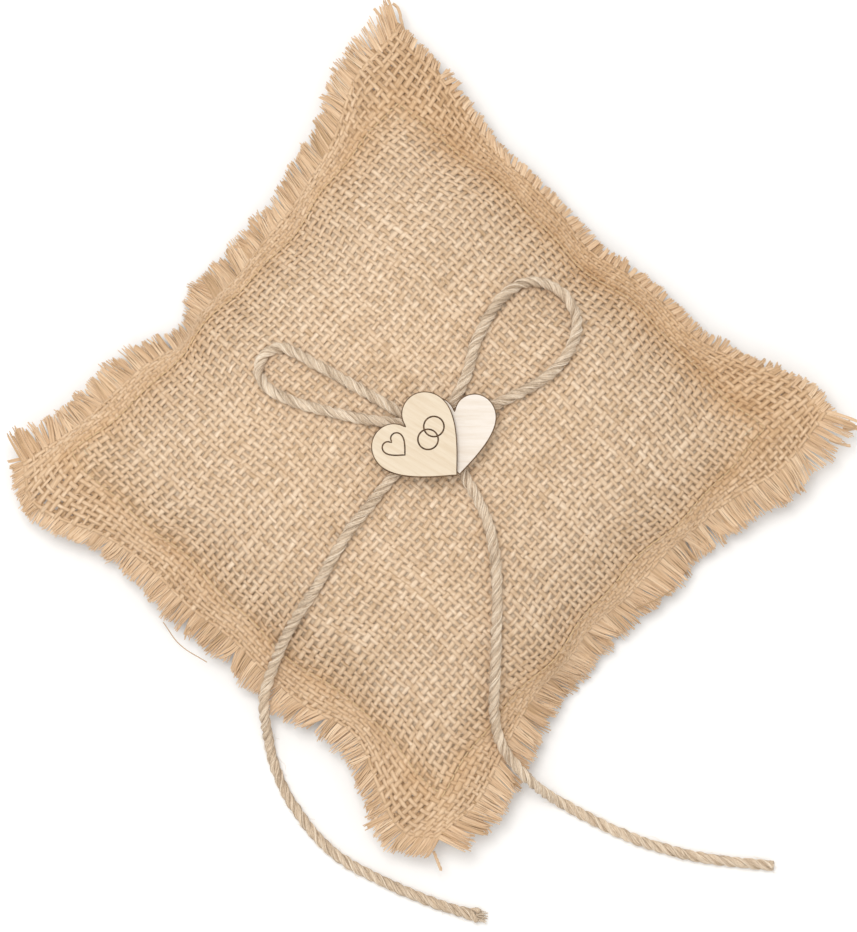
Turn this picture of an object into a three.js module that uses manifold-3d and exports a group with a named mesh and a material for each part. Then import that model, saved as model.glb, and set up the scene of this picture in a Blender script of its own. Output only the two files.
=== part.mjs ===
// A ring bearer pillow: two frayed burlap panels sewn round a lined, stuffed cushion, with a twine
// bow and two wooden hearts glued to its middle. Millimetres, +Z up, lying on its back.
import * as THREE from 'three';
import { mergeVertices } from 'three/addons/utils/BufferGeometryUtils.js';
import Module from 'manifold-3d';

const wasm = await Module();
wasm.setup();

// ---------------------------------------------------------------- driving dimensions
const SIZE_X = 194; // fringe tip to fringe tip, at the corners
const SIZE_Y = 206;
const SIDE_PULL_IN = 6.5; // how far the middle of each side stands inside its corners
const FLANGE_WIDTH = 15; // seam to fringe tips
const FLANGE_DROOP = 5; // the fringe tips hang this far below the seam
const SEAM_HEIGHT = 16; // the seam above the table
const FRONT_CROWN = 30; // the front's middle above the seam
const BACK_BELLY = 24; // how far the back would hang below the seam with no table
const PUFF_POWER = 2.6; // higher is flatter in the middle and steeper at the seam
const PANEL_CLOTH = 1.0; // burlap
const LINER_CLOTH = 0.5; // the inner bag's cloth
const LINER_INSET = 10; // the inner bag's rim inside the seam
const LINER_OPENING = 1.5; // how steeply each side of the inner bag opens from its rim
const FILLING_INSET = 1.5; // the filling's rim inside the bag's rim
const CLOTH_GAP = 0.4; // between one soft layer and the next
const SEAM_THREAD = 0.8; // the panels' sewing thread
const LINER_THREAD = 0.5; // the inner bag's sewing thread
const SEAM_THREAD_OFFSET = 1.2; // the thread's centre outside the edge of the crown
const THREAD_STRETCHES = 10; // straight stretches of thread along each side
const SEAM_STRETCHES = 9; // grid lines from a panel's middle to its seam
const TWINE = 3.5; // the bow's twine
const KNOT_RADII = [6.5, 5.5, 2.1]; // the bow's knot, pressed flat
const KNOT_PLACE = [4, -4]; // the knot's centre on the front
const HEART_WIDTH = 30;
const HEART_HEIGHT = 28.8;
const PLAIN_HEART_WIDTH = 27; // the lower heart is a little smaller
const HEART_WOOD = 1.8; // plywood
const ENGRAVING_DEPTH = 0.35;
const ENGRAVING_WIDTH = 0.55;
const SMALL_HEART_WIDTH = 8.4; // the engraved outline
const RING_RADIUS = 3.3; // the two engraved rings
const RING_SPACING = 4.6; // between their centres
const GLUE_THICKNESS = 0.5;
const GLUE_RADIUS = 4.2;
const SEAT_GAP = 0.1; // between two flat faces that are glued
const REST_GAP = 0.3; // between other pieces that touch

// Where the hearts lie: the middle of each and its turn about Z in degrees.
const ENGRAVED_HEART = { x: -2.8, y: -3.6, turn: -1 };
const PLAIN_HEART = { x: 6.7, y: -8.9, turn: -43 };
const SMALL_HEART = { x: -6.8, y: 6.2, turn: 0 }; // in the engraved heart's own frame
const RINGS = { x: 4.2, y: 1.2, turn: 19 };

// The twine's routes, each from the knot outwards. A loop comes back to the knot.
const LEFT_LOOP = [
  [3.1, 2.6, 49.3], [0.1, 10, 49.2], [-2.3, 21.1, 48.5], [-4.6, 32.5, 46.7], [-6.7, 42, 44.2],
  [-8.8, 50.4, 41.1], [-12.3, 54.6, 39.1], [-17.6, 55.1, 38.7], [-21.6, 51.5, 40], [-22.1, 46, 42.1],
  [-19.6, 37.3, 44.9], [-15.1, 27.1, 47.3], [-8.4, 15.5, 48.9], [-3.4, 8.6, 49.2], [0.2, 2.1, 49.3],
];
const RIGHT_LOOP = [
  [11.4, -2, 49.1], [18, 0.2, 48.6], [25.4, 2.9, 47.7], [33.1, 6.9, 46], [44, 10.1, 42.3],
  [52.6, 11.1, 38.2], [60.7, 8.8, 33.4], [65.5, 2.6, 30], [66, -5.4, 29.7], [61.7, -12.8, 32.7],
  [53.6, -16.9, 37.5], [45, -17.8, 41.6], [36.7, -16.4, 44.6], [29.7, -13.9, 46.6],
  [21, -10.6, 48.2], [11.2, -6.8, 49.1],
];
const LEFT_TAIL = [
  [-3.3, -3.4, 49.3], [-10, -2.6, 49.2], [-18.5, -2.5, 48.6], [-28.8, -3.1, 47], [-39.2, -3.6, 44.2],
  [-50.3, -5.7, 39.5], [-61.2, -7.9, 33], [-70.7, -9.2, 26.4], [-79.9, -11, 20.1], [-88.5, -13.8, 15.9],
  [-95, -16.4, 12.6], [-100.8, -20.3, 7], [-105.8, -25.8, 2.7], [-112.8, -35.4, 1.9],
  [-118.2, -47.6, 1.9], [-121.5, -68.7, 1.9], [-117.6, -87.8, 1.9], [-110.3, -108.2, 1.9],
  [-104.5, -120.1, 1.9],
];
const RIGHT_TAIL = [
  [2.5, -10.4, 49.2], [0.8, -15, 49], [-1.6, -21.1, 48.5], [-4.2, -29.2, 47.3], [-8.4, -37.5, 45.5],
  [-15.5, -46.6, 42.4], [-23.6, -54.5, 38.6], [-33.3, -63, 33.5], [-43.1, -71.5, 27.8],
  [-50.8, -78.2, 24.1], [-56.7, -86.4, 20.1], [-59.1, -95.6, 16.4], [-59.6, -103.2, 13],
  [-59, -109.8, 7.6], [-57.7, -116, 3], [-55.6, -124.5, 1.9], [-50.5, -141, 1.9], [-40.9, -160.5, 1.9],
  [-25.8, -181.8, 1.9],
];

// ---------------------------------------------------------------- materials
const finish = (color, roughness) => new THREE.MeshStandardMaterial({ color, roughness, metalness: 0 });
const FRONT_BURLAP = finish(0xd3b48f, 0.95);
const BACK_BURLAP = finish(0xcbaa82, 0.95);
const LINER = finish(0xc9b28e, 0.9);
const FILLING = finish(0xf4f1ea, 1);
const THREAD = finish(0xb58c58, 0.8);
const TWINE_JUTE = finish(0xc3ad8a, 0.9);
const ENGRAVED_WOOD = finish(0xf0dcb8, 0.6);
const PLAIN_WOOD = finish(0xfbf1e2, 0.65);
const GLUE = finish(0xe9e2cf, 0.35);

// ---------------------------------------------------------------- the cushion's surfaces
// A panel is a square sheet, with u and v from -1 to 1 across it.
const HALF = [SIZE_X / 2, SIZE_Y / 2];
const SEAM = HALF.map((half) => 1 - FLANGE_WIDTH / half); // the seam's u and v
const LINER_RIM = SEAM.map((seam, axis) => seam - LINER_INSET / HALF[axis]);
const FILLING_RIM = LINER_RIM.map((rim, axis) => rim - FILLING_INSET / HALF[axis]);

function place(u, v) {
  return [u * (HALF[0] - SIDE_PULL_IN * (1 - v * v)), v * (HALF[1] - SIDE_PULL_IN * (1 - u * u))];
}

function puff(u, v) {
  const rise = [u, v].map((t, axis) => Math.max(0, 1 - Math.abs(t / SEAM[axis]) ** PUFF_POWER));
  return rise[0] * rise[1];
}

function seamPlane(u, v) {
  const out = [u, v].map((t, axis) => Math.max(0, Math.abs(t) - SEAM[axis]) / (1 - SEAM[axis]));
  return SEAM_HEIGHT - FLANGE_DROOP * Math.max(...out);
}

const frontUnder = (u, v) => seamPlane(u, v) + CLOTH_GAP / 2 + FRONT_CROWN * puff(u, v);
const frontTop = (u, v) => frontUnder(u, v) + PANEL_CLOTH;
const backUnder = (u, v) =>
  Math.max(0, seamPlane(u, v) - CLOTH_GAP / 2 - PANEL_CLOTH - BACK_BELLY * puff(u, v));
const backTop = (u, v) => backUnder(u, v) + PANEL_CLOTH;

// The inner bag's two sides meet at its rim and open from there, as far as the panels let them.
function bagOpening(u, v) {
  const inwards = [u, v].map((t, axis) => (LINER_RIM[axis] - Math.abs(t)) * HALF[axis]);
  return CLOTH_GAP / 2 + LINER_OPENING * Math.max(0, Math.min(...inwards));
}

const linerFrontUnder = (u, v) =>
  Math.min(frontUnder(u, v) - CLOTH_GAP - LINER_CLOTH, seamPlane(u, v) + bagOpening(u, v));
const linerFrontTop = (u, v) => linerFrontUnder(u, v) + LINER_CLOTH;
const linerBackTop = (u, v) =>
  Math.max(backTop(u, v) + CLOTH_GAP + LINER_CLOTH, seamPlane(u, v) - bagOpening(u, v));
const linerBackUnder = (u, v) => linerBackTop(u, v) - LINER_CLOTH;
const fillingTop = (u, v) => linerFrontUnder(u, v) - CLOTH_GAP;
const fillingUnder = (u, v) => linerBackTop(u, v) + CLOTH_GAP;

// ---------------------------------------------------------------- solids
// Every soft layer shares the same lines across the cushion, so that its facets follow its neighbours'.
// They run from -reach to reach, with the lines beyond them on both sides.
function gridLines(axis, reach, beyond = []) {
  const step = SEAM[axis] / SEAM_STRETCHES;
  const inside = Array.from({ length: SEAM_STRETCHES }, (_, i) => i * step).filter((t) => t < reach - step / 8);
  const half = [...inside.slice(1), reach, ...beyond];
  return [...half.map((t) => -t).reverse(), 0, ...half];
}

// A closed sheet between two heights over the grid that the lines make.
function clothSolid(linesU, linesV, top, under) {
  const across = linesU.length;
  const along = linesV.length;
  const vertices = [];
  for (const height of [top, under]) {
    for (const v of linesV) {
      for (const u of linesU) vertices.push(...place(u, v), height(u, v));
    }
  }
  const at = (layer, i, j) => layer * across * along + j * across + i;
  const faces = [];
  const quad = (a, b, c, d) => faces.push(a, b, c, a, c, d);
  for (let j = 0; j < along - 1; j += 1) {
    for (let i = 0; i < across - 1; i += 1) {
      quad(at(0, i, j), at(0, i + 1, j), at(0, i + 1, j + 1), at(0, i, j + 1));
      faces.push(at(1, i, j), at(1, i + 1, j + 1), at(1, i + 1, j));
      faces.push(at(1, i, j), at(1, i, j + 1), at(1, i + 1, j + 1));
    }
  }
  for (let i = 0; i < across - 1; i += 1) {
    quad(at(1, i, 0), at(1, i + 1, 0), at(0, i + 1, 0), at(0, i, 0));
    quad(at(1, i + 1, along - 1), at(1, i, along - 1), at(0, i, along - 1), at(0, i + 1, along - 1));
  }
  for (let j = 0; j < along - 1; j += 1) {
    quad(at(1, 0, j + 1), at(1, 0, j), at(0, 0, j), at(0, 0, j + 1));
    quad(at(1, across - 1, j), at(1, across - 1, j + 1), at(0, across - 1, j + 1), at(0, across - 1, j));
  }
  const geometry = new THREE.BufferGeometry();
  geometry.setAttribute('position', new THREE.Float32BufferAttribute(vertices, 3));
  geometry.setIndex(faces);
  return geometry;
}

function circlePoints(radius, sides, middleX = 0) {
  return Array.from({ length: sides }, (_, i) => {
    const angle = (2 * Math.PI * i) / sides;
    return new THREE.Vector2(middleX + radius * Math.cos(angle), radius * Math.sin(angle));
  });
}

function tube(points, diameter, steps, sides) {
  const path = new THREE.CatmullRomCurve3(points.map((p) => new THREE.Vector3(...p)), false, 'centripetal');
  const section = new THREE.Shape(circlePoints(diameter / 2, sides));
  return new THREE.ExtrudeGeometry(section, { extrudePath: path, steps });
}

// The route of a thread sewn round the cushion, offset outside the square of reach, at a height.
function sewnRoute(reach, offset, height) {
  const line = reach.map((t, axis) => t + offset / HALF[axis]);
  const turn = reach; // each corner is cut off across the offset
  const shares = Array.from({ length: THREAD_STRETCHES + 1 }, (_, i) => 1 - (2 * i) / THREAD_STRETCHES);
  const sides = [
    shares.map((share) => [share * turn[0], line[1]]),
    shares.map((share) => [-line[0], share * turn[1]]),
    shares.map((share) => [-share * turn[0], -line[1]]),
    shares.map((share) => [line[0], -share * turn[1]]),
  ];
  return sides.flat().map(([u, v]) => new THREE.Vector3(...place(u, v), height(u, v)));
}

// A round tube whose end joins its start, along a nearly level route.
function ringTube(route, diameter, sides) {
  const vertices = [];
  const faces = [];
  const upward = new THREE.Vector3(0, 0, 1);
  route.forEach((middle, i) => {
    const next = route[(i + 1) % route.length];
    const last = route[(i + route.length - 1) % route.length];
    const outward = next.clone().sub(last).cross(upward).normalize();
    circlePoints(diameter / 2, sides).forEach(({ x, y }) => {
      vertices.push(...middle.clone().addScaledVector(outward, x).addScaledVector(upward, y));
    });
    for (let k = 0; k < sides; k += 1) {
      const here = i * sides + k;
      const beside = i * sides + ((k + 1) % sides);
      const ahead = ((i + 1) % route.length) * sides;
      faces.push(here, ahead + ((k + 1) % sides), beside);
      faces.push(here, ahead + k, ahead + ((k + 1) % sides));
    }
  });
  const geometry = new THREE.BufferGeometry();
  geometry.setAttribute('position', new THREE.Float32BufferAttribute(vertices, 3));
  geometry.setIndex(faces);
  return geometry;
}

// A heart with its middle at the origin and its tip towards -Y, made of three curves a side.
function heartShape(width, height) {
  const half = width / 2;
  const side = (x, y) => [x * half, y * height];
  const shape = new THREE.Shape();
  const right = [
    [side(0.05, 0.424), side(0.24, 0.5), side(0.48, 0.5)],
    [side(0.77, 0.5), side(1, 0.368), side(1, 0.208)],
    [side(1, -0.017), side(0.533, -0.26), side(0, -0.5)],
  ];
  shape.moveTo(...side(0, 0.299));
  right.forEach((curve) => shape.bezierCurveTo(...curve.flat()));
  const mirrored = ([x, y]) => [-x, y];
  const left = right.map(([first, second, end], index) => {
    const from = index === 0 ? side(0, 0.299) : right[index - 1][2];
    return [second, first, from, end].map(mirrored);
  });
  left.reverse().forEach(([first, second, from]) => shape.bezierCurveTo(...first, ...second, ...from));
  return shape;
}

function plate(shape, thickness, curveSegments) {
  return new THREE.ExtrudeGeometry(shape, { depth: thickness, bevelEnabled: false, curveSegments });
}

function placed(geometry, { x, y, turn }, z = 0) {
  return geometry.rotateZ(THREE.MathUtils.degToRad(turn)).translate(x, y, z);
}

function toManifold(geometry) {
  const plain = geometry.clone();
  plain.deleteAttribute('normal');
  plain.deleteAttribute('uv');
  const merged = mergeVertices(plain, 1e-4);
  return new wasm.Manifold(new wasm.Mesh({
    numProp: 3,
    vertProperties: new Float32Array(merged.attributes.position.array),
    triVerts: new Uint32Array(merged.index.array),
  }));
}

function fromManifold(solid) {
  const mesh = solid.getMesh();
  const geometry = new THREE.BufferGeometry();
  geometry.setAttribute('position', new THREE.BufferAttribute(mesh.vertProperties, 3));
  geometry.setIndex(new THREE.BufferAttribute(mesh.triVerts, 1));
  return geometry;
}

// The engraving's grooves, as solids that stand through the plate's upper face.
function engravingCutters() {
  const cutterDepth = ENGRAVING_DEPTH + 1;
  const floor = HEART_WOOD - ENGRAVING_DEPTH;
  const ofWidth = (width) => heartShape(width, width * (HEART_HEIGHT / HEART_WIDTH));
  const outline = ofWidth(SMALL_HEART_WIDTH);
  const inside = ofWidth(SMALL_HEART_WIDTH - 2 * ENGRAVING_WIDTH);
  outline.holes.push(new THREE.Path(inside.getPoints(5).reverse()));
  const smallHeart = placed(plate(outline, cutterDepth, 5), SMALL_HEART, floor);
  const rings = [-1, 1].map((side) => {
    const middleX = side * (RING_SPACING / 2);
    const ring = new THREE.Shape(circlePoints(RING_RADIUS, 28, middleX));
    ring.holes.push(new THREE.Path(circlePoints(RING_RADIUS - ENGRAVING_WIDTH, 28, middleX)));
    return placed(plate(ring, cutterDepth), RINGS, floor);
  });
  return [smallHeart, ...rings];
}

function engravedPlate() {
  let solid = toManifold(plate(heartShape(HEART_WIDTH, HEART_HEIGHT), HEART_WOOD, 8));
  engravingCutters().forEach((cutter) => {
    solid = solid.subtract(toManifold(cutter));
  });
  return fromManifold(solid);
}

function glueDrop() {
  return new THREE.CylinderGeometry(GLUE_RADIUS, GLUE_RADIUS, GLUE_THICKNESS, 20)
    .rotateX(Math.PI / 2)
    .translate(...KNOT_PLACE, GLUE_THICKNESS / 2);
}

// ---------------------------------------------------------------- assembly
const pillow = new THREE.Group();

function add(name, geometry, material, z = 0) {
  const mesh = new THREE.Mesh(geometry, material);
  mesh.name = name;
  mesh.position.z = z;
  pillow.add(mesh);
}

function layer(reach, top, under, beyond = [[], []]) {
  return clothSolid(gridLines(0, reach[0], beyond[0]), gridLines(1, reach[1], beyond[1]), top, under);
}

function addPanels() {
  const flange = SEAM.map((seam) => [(1 + seam) / 2, 1]);
  add('front_panel', layer(SEAM, frontTop, frontUnder, flange), FRONT_BURLAP);
  add('back_panel', layer(SEAM, backTop, backUnder, flange), BACK_BURLAP);
}

function addInnerBag() {
  const rim = LINER_RIM.map((t) => [t]);
  add('liner_front', layer(FILLING_RIM, linerFrontTop, linerFrontUnder, rim), LINER);
  add('liner_back', layer(FILLING_RIM, linerBackTop, linerBackUnder, rim), LINER);
  add('fibre_filling', layer(FILLING_RIM, fillingTop, fillingUnder), FILLING);
}

function addThreads() {
  const clear = REST_GAP + SEAM_THREAD / 2;
  const needle = sewnRoute(SEAM, SEAM_THREAD_OFFSET, (u, v) => frontTop(u, v) + clear);
  const bobbin = sewnRoute(SEAM, SEAM_THREAD_OFFSET, (u, v) => backUnder(u, v) - clear);
  const liner = sewnRoute(LINER_RIM, REST_GAP + LINER_THREAD / 2, seamPlane);
  add('needle_thread', ringTube(needle, SEAM_THREAD, 6), THREAD);
  add('bobbin_thread', ringTube(bobbin, SEAM_THREAD, 6), THREAD);
  add('liner_thread', ringTube(liner, LINER_THREAD, 6), LINER);
}

function addBow() {
  const frontMiddle = frontTop(0, 0);
  const knotGlue = frontMiddle + SEAT_GAP;
  const knotMiddle = knotGlue + GLUE_THICKNESS + SEAT_GAP + KNOT_RADII[2];
  const knot = new THREE.SphereGeometry(1, 16, 10).rotateX(Math.PI / 2).scale(...KNOT_RADII);
  add('knot_glue', glueDrop(), GLUE, knotGlue);
  add('bow_knot', knot.translate(...KNOT_PLACE, 0), TWINE_JUTE, knotMiddle);
  add('bow_loop_left', tube(LEFT_LOOP, TWINE, 14, 8), TWINE_JUTE);
  add('bow_loop_right', tube(RIGHT_LOOP, TWINE, 16, 8), TWINE_JUTE);
  add('tail_left', tube(LEFT_TAIL, TWINE, 25, 8), TWINE_JUTE);
  add('tail_right', tube(RIGHT_TAIL, TWINE, 24, 8), TWINE_JUTE);
  return knotMiddle + KNOT_RADII[2];
}

function addHearts(knotTop) {
  const underGlue = knotTop + SEAT_GAP;
  const plainHeart = underGlue + GLUE_THICKNESS + SEAT_GAP;
  const overGlue = plainHeart + HEART_WOOD + SEAT_GAP;
  const engravedHeart = overGlue + GLUE_THICKNESS + SEAT_GAP;
  const plainHeight = PLAIN_HEART_WIDTH * (HEART_HEIGHT / HEART_WIDTH);
  const plain = plate(heartShape(PLAIN_HEART_WIDTH, plainHeight), HEART_WOOD, 8);
  add('plain_heart_glue', glueDrop(), GLUE, underGlue);
  add('plain_heart', placed(plain, PLAIN_HEART), PLAIN_WOOD, plainHeart);
  add('engraved_heart_glue', glueDrop(), GLUE, overGlue);
  add('engraved_heart', placed(engravedPlate(), ENGRAVED_HEART), ENGRAVED_WOOD, engravedHeart);
}

addPanels();
addInnerBag();
addThreads();
addHearts(addBow());

export default pillow;
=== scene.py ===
import math
import bpy
import bmesh
import numpy as np
from mathutils import Matrix, Vector


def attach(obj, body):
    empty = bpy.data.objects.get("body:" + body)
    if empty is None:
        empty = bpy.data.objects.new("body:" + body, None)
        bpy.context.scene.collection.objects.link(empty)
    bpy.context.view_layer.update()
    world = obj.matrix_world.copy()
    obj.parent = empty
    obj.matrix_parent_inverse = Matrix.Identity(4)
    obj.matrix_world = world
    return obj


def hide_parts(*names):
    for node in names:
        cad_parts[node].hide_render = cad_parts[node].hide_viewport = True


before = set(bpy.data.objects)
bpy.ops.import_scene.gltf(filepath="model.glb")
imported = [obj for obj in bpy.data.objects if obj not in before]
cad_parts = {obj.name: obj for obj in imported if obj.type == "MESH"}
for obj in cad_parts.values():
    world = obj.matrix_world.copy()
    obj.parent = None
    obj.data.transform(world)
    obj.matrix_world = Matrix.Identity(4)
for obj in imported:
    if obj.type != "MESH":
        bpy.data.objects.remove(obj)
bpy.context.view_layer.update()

MM = 0.001

# ---------------------------------------------------------------- sizes of the cushion, in millimetres
CELLS = 72                     # cloth squares across the cushion, border included
SEAM_CELLS = 60                # of them inside the seam
SEAM_AT = SEAM_CELLS / CELLS   # the seam, as a share of the half width of the cloth
CLOTH_HALF = 97.0              # half width of the woven cloth, laid flat
SEAM_Z = 16.0                  # the seam above the table
CROWN = 30.2                   # how far the front stands above the seam before it swells
FRONT_TOP = 46.9               # height of the front's cloth under the knot
BELLY = 24.0                   # how far the back would hang below the seam with no table
TABLE_REST = 0.95              # the back cloth's middle above the table before it is pressed down
PUFF_POWER = 2.6               # higher is flatter in the middle and steeper at the seam
PUFF_SOFTNESS = 0.82           # below 1 the cushion stands steeper out of its seam
SWELL_MOST = 4.5               # the filling never moves the cloth further than this
SWELL_FRAMES = 20
SEWN_TOGETHER = 0.62           # from the front's threads to the back's, at the seam and on the border

# ---------------------------------------------------------------- hessian threads and the twine
THREAD_THICK = 0.56            # thickness of one hessian thread, pressed flat
WEFT_PITCH = 2.58              # threads that run along X
WARP_PITCH = 2.27              # threads that run along Y
WEFT_WIDE = 1.98
WARP_WIDE = 1.76
BACK_SHIFT = 0.5               # the back's threads lie between the front's, in threads
ROW_APART = 0.0371             # metres between the fibre patterns of one thread and the next, along it
ROW_ASIDE = 0.0137             # and across it
WISP_THICK = 0.46              # a combed wisp of the fringe
WISPS = 6                      # wisps to one frayed thread
PLY_RADIUS = 0.86
PLY_OFFSET = 0.92
TWIST_PITCH = 12.0             # one full turn of a ply
TWINE_STEP = 0.45              # between two points along the twine
TAIL_OPENED = 7.0              # length of the left tail's opened end

# ---------------------------------------------------------------- knot, hearts and glue
KNOT_PLACE = (4, -4)
KNOT_MIDDLE = 50.0             # height of the knot's middle
HEART_WOOD = 1.8
HEART_SHAPE = 0.96             # height of a heart to its width
PLAIN_HEART = dict(width=27.0, low=52.8, place=(6.7, -8.9), turn=-43.0)
ENGRAVED_HEART = dict(width=30.0, low=55.3, place=(-2.8, -3.6), turn=-1.0)
ENGRAVING_DEPTH = 0.35
SMALL_HEART_WIDTH = 8.4
SMALL_HEART_PLACE = (-6.8, 6.2)
SMALL_HEART_LINE = 0.5         # width of its burnt line
RINGS_PLACE = (4.2, 1.2)
RINGS_TURN = 19.0
RING_RADIUS = 3.3
RING_SPACING = 4.6
RING_LINE = 0.54
GLUE_THICK = 0.5
GLUE_RADIUS = 3.95
GLUE_SPOTS = (("knot_glue", KNOT_PLACE, 47.3), ("plain_heart_glue", KNOT_PLACE, 52.2),
              ("engraved_heart_glue", (1, -4), 54.7))

# Each side: seam distance in the middle and at the corners, cloth edge distance in the middle and at the
# corners, lean (further out at the far end), flare beside each corner, fringe length, share that the
# fringe is shorter towards the far end, how wide its wisps spread, and pinches in the edge (place, depth,
# width).
SIDES = {
    "+X": dict(seam=(80.5, 77.5), edge=(88.5, 96.0), lean=-0.5, flare=(6.5, 3.5), fringe=4.4, shorter=0.0,
               spread=(0.46, 0.62), pinch=((2, 3.8, 9), (-42, 3.0, 10), (40, 1.0, 9))),
    "-X": dict(seam=(83.0, 79.0), edge=(94.5, 92.5), lean=-0.2, flare=(8.5, 12.0), fringe=8.5, shorter=0.34,
               spread=(0.58, 0.84), pinch=((-46, 7.0, 14), (-18, 1.5, 10), (2, 2.5, 12), (38, 1.5, 10))),
    "+Y": dict(seam=(79.5, 85.0), edge=(84.5, 96.5), lean=1.8, flare=(-2.0, 6.5), fringe=9.5, shorter=0.0,
               spread=(0.58, 0.84), pinch=((-30, 4.5, 8), (-2, 1.5, 9), (28, 1.0, 8))),
    "-Y": dict(seam=(80.5, 84.5), edge=(86.0, 91.5), lean=0.6, flare=(6.0, 6.0), fringe=10.0, shorter=0.0,
               spread=(0.58, 0.84), pinch=((-8, 3.0, 10), (30, 1.5, 9), (-36, 2.2, 12))),
}

# Single threads that have come loose round the raw edge, and two thin hairs, all lying at one height.
LOOSE_HEIGHT = 10.0
LOOSE_THREADS = [[(97.3, 96.5), (100.4, 101.2), (102.7, 104.7), (102.6, 106.8)],
                 [(94.4, 100.7), (96.3, 105.7), (97.1, 110.4)],
                 [(95.6, -98.1), (97.6, -101.3), (101.2, -104.3)],
                 [(97.6, -101.3), (101.2, -100.8)],
                 [(92.2, -100.3), (93.9, -104.2), (95.2, -106.6)],
                 [(-98.5, -94.8), (-101.4, -100.6)]]
LOOSE_HAIRS = [[(6.8, -90.1), (13.1, -93.0), (19.4, -94.9)],
               [(-102.8, 23.5), (-104.6, 14.1), (-102.8, 3.6)]]

# ---------------------------------------------------------------- the four lengths of twine, in millimetres
LEFT_LOOP = [(3.1, 2.6, 49.3), (0.1, 10, 49.2), (-2.3, 21.1, 48.5), (-4.6, 32.5, 46.7), (-6.7, 42, 44.2),
             (-8.1, 48.9, 41.7), (-10.2, 54.1, 39.7), (-15.4, 56.3, 38.7), (-20.6, 54.1, 39.1),
             (-22.7, 48.9, 40.8), (-22.1, 43.3, 43.1), (-19.8, 36.6, 45.0), (-15.2, 27.1, 47.3),
             (-8.4, 15.5, 48.9), (-3.4, 8.6, 49.2), (0.2, 2.1, 49.3)]
RIGHT_LOOP = [(11.4, -2, 49.1), (18, 0.2, 48.6), (25.4, 2.9, 47.7), (33.1, 6.9, 46), (44, 10.1, 42.3),
              (52.6, 11.1, 38.2), (60.7, 8.8, 33.4), (65.5, 2.6, 30), (66, -5.4, 29.7), (61.7, -12.8, 32.7),
              (53.6, -16.9, 37.5), (45, -17.8, 41.6), (36.7, -16.4, 44.6), (29.7, -13.9, 46.6),
              (21, -10.6, 48.2), (11.2, -6.8, 49.1)]
LEFT_TAIL = [(-3.3, -3.4, 49.3), (-10, -2.6, 49.2), (-18.5, -2.5, 48.6), (-28.8, -3.1, 47),
             (-39.2, -3.6, 44.2), (-50.3, -5.7, 39.5), (-61.2, -7.9, 33), (-70.7, -9.2, 26.4),
             (-79.9, -11, 20.1),
             (-88.5, -13.8, 15.9), (-95, -16.4, 12.6), (-100.8, -20.3, 7), (-105.8, -25.8, 2.7),
             (-112.8, -35.4, 1.9), (-118.2, -47.6, 1.9), (-121.5, -68.7, 1.9), (-117.6, -87.8, 1.9),
             (-110.3, -108.2, 1.9), (-104.5, -120.1, 1.9)]
RIGHT_TAIL = [(2.5, -10.4, 49.2), (0.8, -15, 49), (-1.6, -21.1, 48.5), (-4.2, -29.2, 47.3),
              (-8.4, -37.5, 45.5), (-15.5, -46.6, 42.4), (-23.6, -54.5, 38.6), (-33.3, -63, 33.5),
              (-43.1, -71.5, 27.8),
              (-50.8, -78.2, 24.1), (-56.7, -86.4, 20.1), (-59.1, -95.6, 16.4), (-59.6, -103.2, 13),
              (-59, -109.8, 7.6), (-57.7, -116, 3), (-55.6, -124.5, 1.9), (-50.5, -141, 1.9),
              (-40.9, -160.5, 1.9), (-25.8, -181.8, 1.9)]


# ---------------------------------------------------------------- camera, floor and light
CAMERA_AZIMUTH = math.radians(-47.7)
CAMERA_ELEVATION = math.radians(86.0)
CAMERA_AWAY = 1.6              # metres from the cushion
VIEW_WIDTH = 0.2856667         # metres across the view, at the cushion
FILM_WIDTH = 36.0              # the camera's own millimetres
FLOOR_HALF = 3.0               # metres


def look_down():
    """The camera above the cushion, a little off square."""
    azimuth, elevation = CAMERA_AZIMUTH, CAMERA_ELEVATION
    back = Vector((math.sin(azimuth) * math.cos(elevation), -math.cos(azimuth) * math.cos(elevation),
                   math.sin(elevation)))
    right = Vector((math.cos(azimuth), math.sin(azimuth), 0.0))
    up = back.cross(right)
    aim = Vector((-2.8, -0.5, 15.0)) * MM + right * 3.5 * MM - up * 6.0 * MM
    data = bpy.data.cameras.new("camera")
    data.sensor_fit = "HORIZONTAL"
    data.sensor_width = FILM_WIDTH
    data.lens = FILM_WIDTH * CAMERA_AWAY / VIEW_WIDTH
    data.clip_start = 0.05
    data.clip_end = 20.0
    camera = bpy.data.objects.new("camera", data)
    bpy.context.scene.collection.objects.link(camera)
    camera.rotation_euler = Matrix((right, up, back)).transposed().to_euler()
    camera.location = aim + back * CAMERA_AWAY
    bpy.context.scene.camera = camera


def soft_lamp(name, place, aim, size, power, colour):
    """A square area lamp that faces its aim."""
    data = bpy.data.lights.new(name, "AREA")
    data.shape = "SQUARE"
    data.size = size
    data.energy = power
    data.color = colour
    lamp = bpy.data.objects.new(name, data)
    bpy.context.scene.collection.objects.link(lamp)
    lamp.location = place
    lamp.rotation_euler = (Vector(aim) - Vector(place)).to_track_quat("-Z", "Y").to_euler()


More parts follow.
